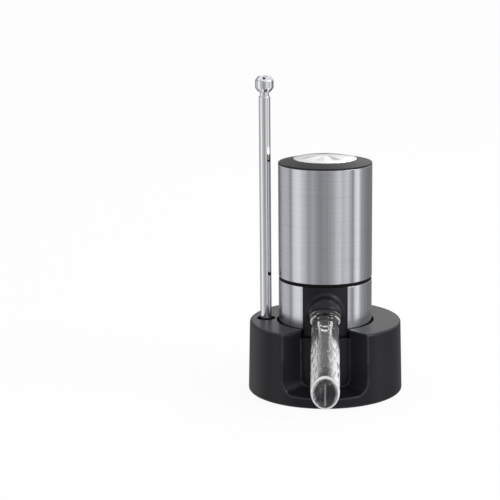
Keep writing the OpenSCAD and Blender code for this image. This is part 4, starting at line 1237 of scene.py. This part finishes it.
class AERATOR_OT_upper_sleeve(bpy.types.Operator):
    """Rolls the upper steel sleeve and cuts its charging port and lamp hole"""

    bl_idname = "aerator.upper_sleeve"
    bl_label = "Upper sleeve"

    def execute(self, context):
        unit = context.scene.aerator_unit
        mesh = sleeve("steel_sleeve_upper", UPPER_LO, UPPER_HI, unit.sleeve_thickness, segments=240)
        port = UPPER_LO[2] + unit.port_lift
        half = unit.port_height / 2
        reach = unit.port_width / 2 - half
        ends = oval(0, port, half, half, 32, math.pi / 32 - math.pi / 2)
        slot = [(x + math.copysign(reach, x), z) for x, z in ends]
        near, far = 20 * MM, 40 * MM
        hole = oval(0, port + unit.lamp_lift, unit.lamp_radius, unit.lamp_radius, 24)
        for cut in (slot, hole):
            cutter_mesh = prism("cutter", cut, near, far)
            work = bmesh.new()
            work.from_mesh(cutter_mesh)
            bmesh.ops.recalc_face_normals(work, faces=work.faces)
            work.to_mesh(cutter_mesh)
            work.free()
            cutter = bpy.data.objects.new("cutter", cutter_mesh)
            context.scene.collection.objects.link(cutter)
            mesh = reshaped(mesh, "BOOLEAN", operation="DIFFERENCE", solver="EXACT", object=cutter)
            bpy.data.objects.remove(cutter)
        mesh.name = "steel_sleeve_upper"
        add_piece(mesh, "motor_unit", brushed_steel(tuple(unit.steel)), ["upper_sleeve"])
        return {"FINISHED"}


class AERATOR_OT_motor_inside(bpy.types.Operator):
    """Finishes the pieces inside the motor unit and its charging port"""

    bl_idname = "aerator.motor_inside"
    bl_label = "Motor unit inside"

    def execute(self, context):
        bright = polished_steel((0.62, 0.62, 0.63), 0.22)
        mouldings = ("motor_chassis", "air_pump", "inner_frame", "tact_switch", "button_carrier")
        finish_nodes(inner_black(), *mouldings)
        finish_nodes(bright, "pump_motor", "motor_shaft", "frame_screws", "return_spring", "usb_connector")
        finish_nodes(cell_wrap(), "battery_cell")
        finish_nodes(circuit_green(), "control_board", "charge_board")
        finish_nodes(lamp_clear(), "charge_led")
        return {"FINISHED"}


class AERATOR_OT_cap(bpy.types.Operator):
    """Turns the black cap with its sloping face"""

    bl_idname = "aerator.cap"
    bl_label = "Cap"

    def execute(self, context):
        unit = context.scene.aerator_unit
        low, crown = UPPER_HI[2], CAP_HI[2]
        foot, edge = CAP_LO[2], CAP_HI[0]
        opening, lip = unit.cap_opening, crown - unit.cap_face
        shelf_height, side_round, crown_round = 1 * MM, 0.5 * MM, 0.4 * MM
        shelf, shelf_foot = opening - unit.cap_shelf, lip - shelf_height
        outline = [
            (edge, low, ROLLED_EDGE), (edge, low + unit.cap_side, side_round),
            (opening, crown, crown_round),
            (opening, lip), (shelf, lip), (shelf, shelf_foot), (unit.spigot_bore, shelf_foot),
            (unit.spigot_bore, foot), (unit.spigot_radius, foot), (unit.spigot_radius, low),
        ]
        mesh = turned("cap_ring", outline)
        add_piece(mesh, "motor_unit", cap_black(tuple(unit.cap)), ["top_cap"])
        return {"FINISHED"}


class AERATOR_OT_dome_button(bpy.types.Operator):
    """Turns the domed steel button"""

    bl_idname = "aerator.dome_button"
    bl_label = "Dome button"

    def execute(self, context):
        unit = context.scene.aerator_unit
        wide, top, low = DOME_HI[0], DOME_HI[2], DOME_LO[2]
        rise = top - low - unit.dome_rim
        ball = (wide ** 2 + rise ** 2) / (2 * rise)
        skin, rim_round, steps = 0.8 * MM, 0.25 * MM, 24
        upper, under = [], []
        for i in range(steps + 1):
            r = wide * (1 - i / steps)
            z = top - ball + math.sqrt(ball ** 2 - r ** 2)
            upper.append((r, z) if i else (r, z, rim_round))
            if i:
                under.append((r, max(z - skin, low + GAP)))
        outline = [(wide, low)] + upper + under[::-1]
        mesh = turned("button_dome", outline, segments=256)
        add_piece(mesh, "button", spun_steel(tuple(unit.dome)), ["dome_button"])
        return {"FINISHED"}


# Darker spots in the ceiling, each with its direction and the cosine of its half angle
CEILING_SPOTS = (((0.183, 0.683, 0.707), 0.97), ((-0.09, 0.64, 0.763), 0.99))

# Light that falls in from each side at the object's height, by degrees round it from the front
SKY = (
    (-180, 0.23), (-151, 0.27), (-133, 0.56), (-119, 0.62), (-104, 0.65), (-93, 0.33), (-85, 0.89),
    (-76, 1.03), (-67, 1.03), (-58, 0.79), (-50, 0.70), (-45, 0.49), (-39, 0.42), (-31, 0.57),
    (-25, 0.46), (-15, 0.33), (-3, 0.35), (6, 0.39), (14, 0.42), (21, 0.55), (28, 0.72), (36, 0.88),
    (43, 0.62), (56, 0.82), (65, 0.54), (71, 0.23), (80, 0.99), (89, 1.10), (98, 0.50), (112, 0.35),
    (129, 0.25), (180, 0.23),
)


class AERATOR_OT_stage(bpy.types.Operator):
    """Sets up the pale floor, the soft studio light and the camera"""

    bl_idname = "aerator.stage"
    bl_label = "Stage"

    def execute(self, context):
        stage = context.scene.aerator_stage
        scene = context.scene
        scene.view_settings.view_transform = "Standard"
        self.studio(scene)
        self.floor(stage)
        self.lamp("key light", place=(0.75, -0.3, 0.6), size=0.4, power=stage.key)
        self.lamp("rim light", place=(0.3, 0.9, 0.75), size=0.5, power=stage.rim)
        data = bpy.data.cameras.new("view camera")
        data.lens = stage.lens
        data.sensor_width = 36
        data.shift_x = stage.shift
        data.clip_start, data.clip_end = 0.05, 60
        camera = bpy.data.objects.new("view camera", data)
        camera.location = (0, -stage.distance, stage.height)
        camera.rotation_euler = (math.pi / 2 - stage.pitch, 0, 0)
        scene.collection.objects.link(camera)
        scene.camera = camera
        return {"FINISHED"}

    def studio(self, scene):
        """Bands of light round the object, a ceiling that is darker at the left and in two spots."""
        world = bpy.data.worlds.new("studio")
        scene.world = world
        tree = Tree(world)
        way = tree.add("ShaderNodeTexCoord", out="Generated")
        across, along, up = tree.parts(way)
        turn = tree.math("ARCTAN2", across, along * -1) / (2 * math.pi) + 0.5
        brightest = 2.0
        stops = [((degrees + 180) / 360, light / brightest) for degrees, light in SKY]
        bands = tree.add("ShaderNodeValToRGB", {"stops": stops}, {0: turn}) * brightest
        left, right, overhead = 0.30, 1.05, 0.85
        slide = tree.between(across, -0.25, 0.0) * (right - left) - (overhead - left)
        ceiling = overhead + slide * tree.below(up, 0.3, 0.6)
        spot_rim, spot_depth = 0.008, 0.75
        for spot, width in CEILING_SPOTS:
            inside = tree.between(tree.dot(spot, way), width, width + spot_rim)
            ceiling = ceiling * (1 - inside * spot_depth)
        share_up = tree.between(up, 0.0, 0.25)
        light = bands * (1 - share_up) + ceiling * share_up
        camera_ray = tree.add("ShaderNodeLightPath", out="Is Camera Ray")
        strength = light * (1 - camera_ray) + camera_ray
        back = tree.add("ShaderNodeBackground", None, {"Color": (1, 1, 1, 1), "Strength": strength})
        tree.add("ShaderNodeOutputWorld", None, {"Surface": back})

    def floor(self, stage):
        """A pale floor that takes the object's shadow and that steel doesn't mirror."""
        half = stage.floor_size / 2
        corners = [(-half, -half, 0), (half, -half, 0), (half, half, 0), (-half, half, 0)]
        mesh = mesh_from("floor", corners, [(0, 1, 2, 3)])
        floor = bpy.data.objects.new("floor", mesh)
        bpy.context.scene.collection.objects.link(floor)
        material, tree = new_finish("pale floor")
        tone = tree.blend(
            tree.noise(3, 2), tinted(stage.floor_colour, 0.99), tinted(stage.floor_colour, 1.01)
        )
        matt = tree.add("ShaderNodeBsdfDiffuse", None, {"Color": tone})
        plain = tree.add("ShaderNodeEmission", None, {"Color": (1, 1, 1, 1), "Strength": 1.0})
        camera_ray = tree.add("ShaderNodeLightPath", out="Is Camera Ray")
        through = tree.add("ShaderNodeLightPath", out="Is Transmission Ray")
        plain_share = 0.93
        seen = tree.math("MAXIMUM", camera_ray, through) * plain_share
        tree.output(tree.add("ShaderNodeMixShader", None, {0: seen, 1: matt, 2: plain}))
        mesh.materials.append(material)
        floor.visible_glossy = False

    def lamp(self, name, place, size, power):
        """A square lamp that faces the object's middle."""
        data = bpy.data.lights.new(name, "AREA")
        data.size = size
        data.energy = power
        lamp = bpy.data.objects.new(name, data)
        lamp.location = place
        aim = Vector((0, 0, 80 * MM)) - Vector(place)
        lamp.rotation_euler = aim.to_track_quat("-Z", "Y").to_euler()
        bpy.context.scene.collection.objects.link(lamp)


STEPS = (
    AERATOR_OT_stage,
    AERATOR_OT_base_body,
    AERATOR_OT_cup_liner,
    AERATOR_OT_base_underside,
    AERATOR_OT_draw_tubes,
    AERATOR_OT_inlet_foot,
    AERATOR_OT_pouring_head,
    AERATOR_OT_lower_sleeve,
    AERATOR_OT_head_fittings,
    AERATOR_OT_nozzle,
    AERATOR_OT_clear_spout,
    AERATOR_OT_seam_ring,
    AERATOR_OT_upper_sleeve,
    AERATOR_OT_motor_inside,
    AERATOR_OT_cap,
    AERATOR_OT_dome_button,
)

SETTINGS = {
    "aerator_base": AeratorBase,
    "aerator_tube": AeratorTube,
    "aerator_head": AeratorHead,
    "aerator_spout": AeratorSpout,
    "aerator_unit": AeratorUnit,
    "aerator_stage": AeratorStage,
}


class AERATOR_PT_pieces(bpy.types.Panel):
    """Lists the aerator's pieces and sizes"""

    bl_idname = "AERATOR_PT_pieces"
    bl_label = "Wine aerator"
    bl_space_type = "VIEW_3D"
    bl_region_type = "UI"
    bl_category = "Aerator"

    def draw(self, context):
        for step in STEPS:
            self.layout.operator(step.bl_idname)
        for name, group in SETTINGS.items():
            box = self.layout.box()
            for key in group.__annotations__:
                box.prop(getattr(context.scene, name), key)


def register():
    for name, group in SETTINGS.items():
        bpy.utils.register_class(group)
        setattr(bpy.types.Scene, name, PointerProperty(type=group))
    for step in STEPS:
        bpy.utils.register_class(step)
    bpy.utils.register_class(AERATOR_PT_pieces)


def unregister():
    bpy.utils.unregister_class(AERATOR_PT_pieces)
    for step in reversed(STEPS):
        bpy.utils.unregister_class(step)
    for name, group in SETTINGS.items():
        delattr(bpy.types.Scene, name)
        bpy.utils.unregister_class(group)


def main():
    register()
    for step in STEPS:
        group, name = step.bl_idname.split(".")
        getattr(getattr(bpy.ops, group), name)()


if __name__ == "__main__":
    main()
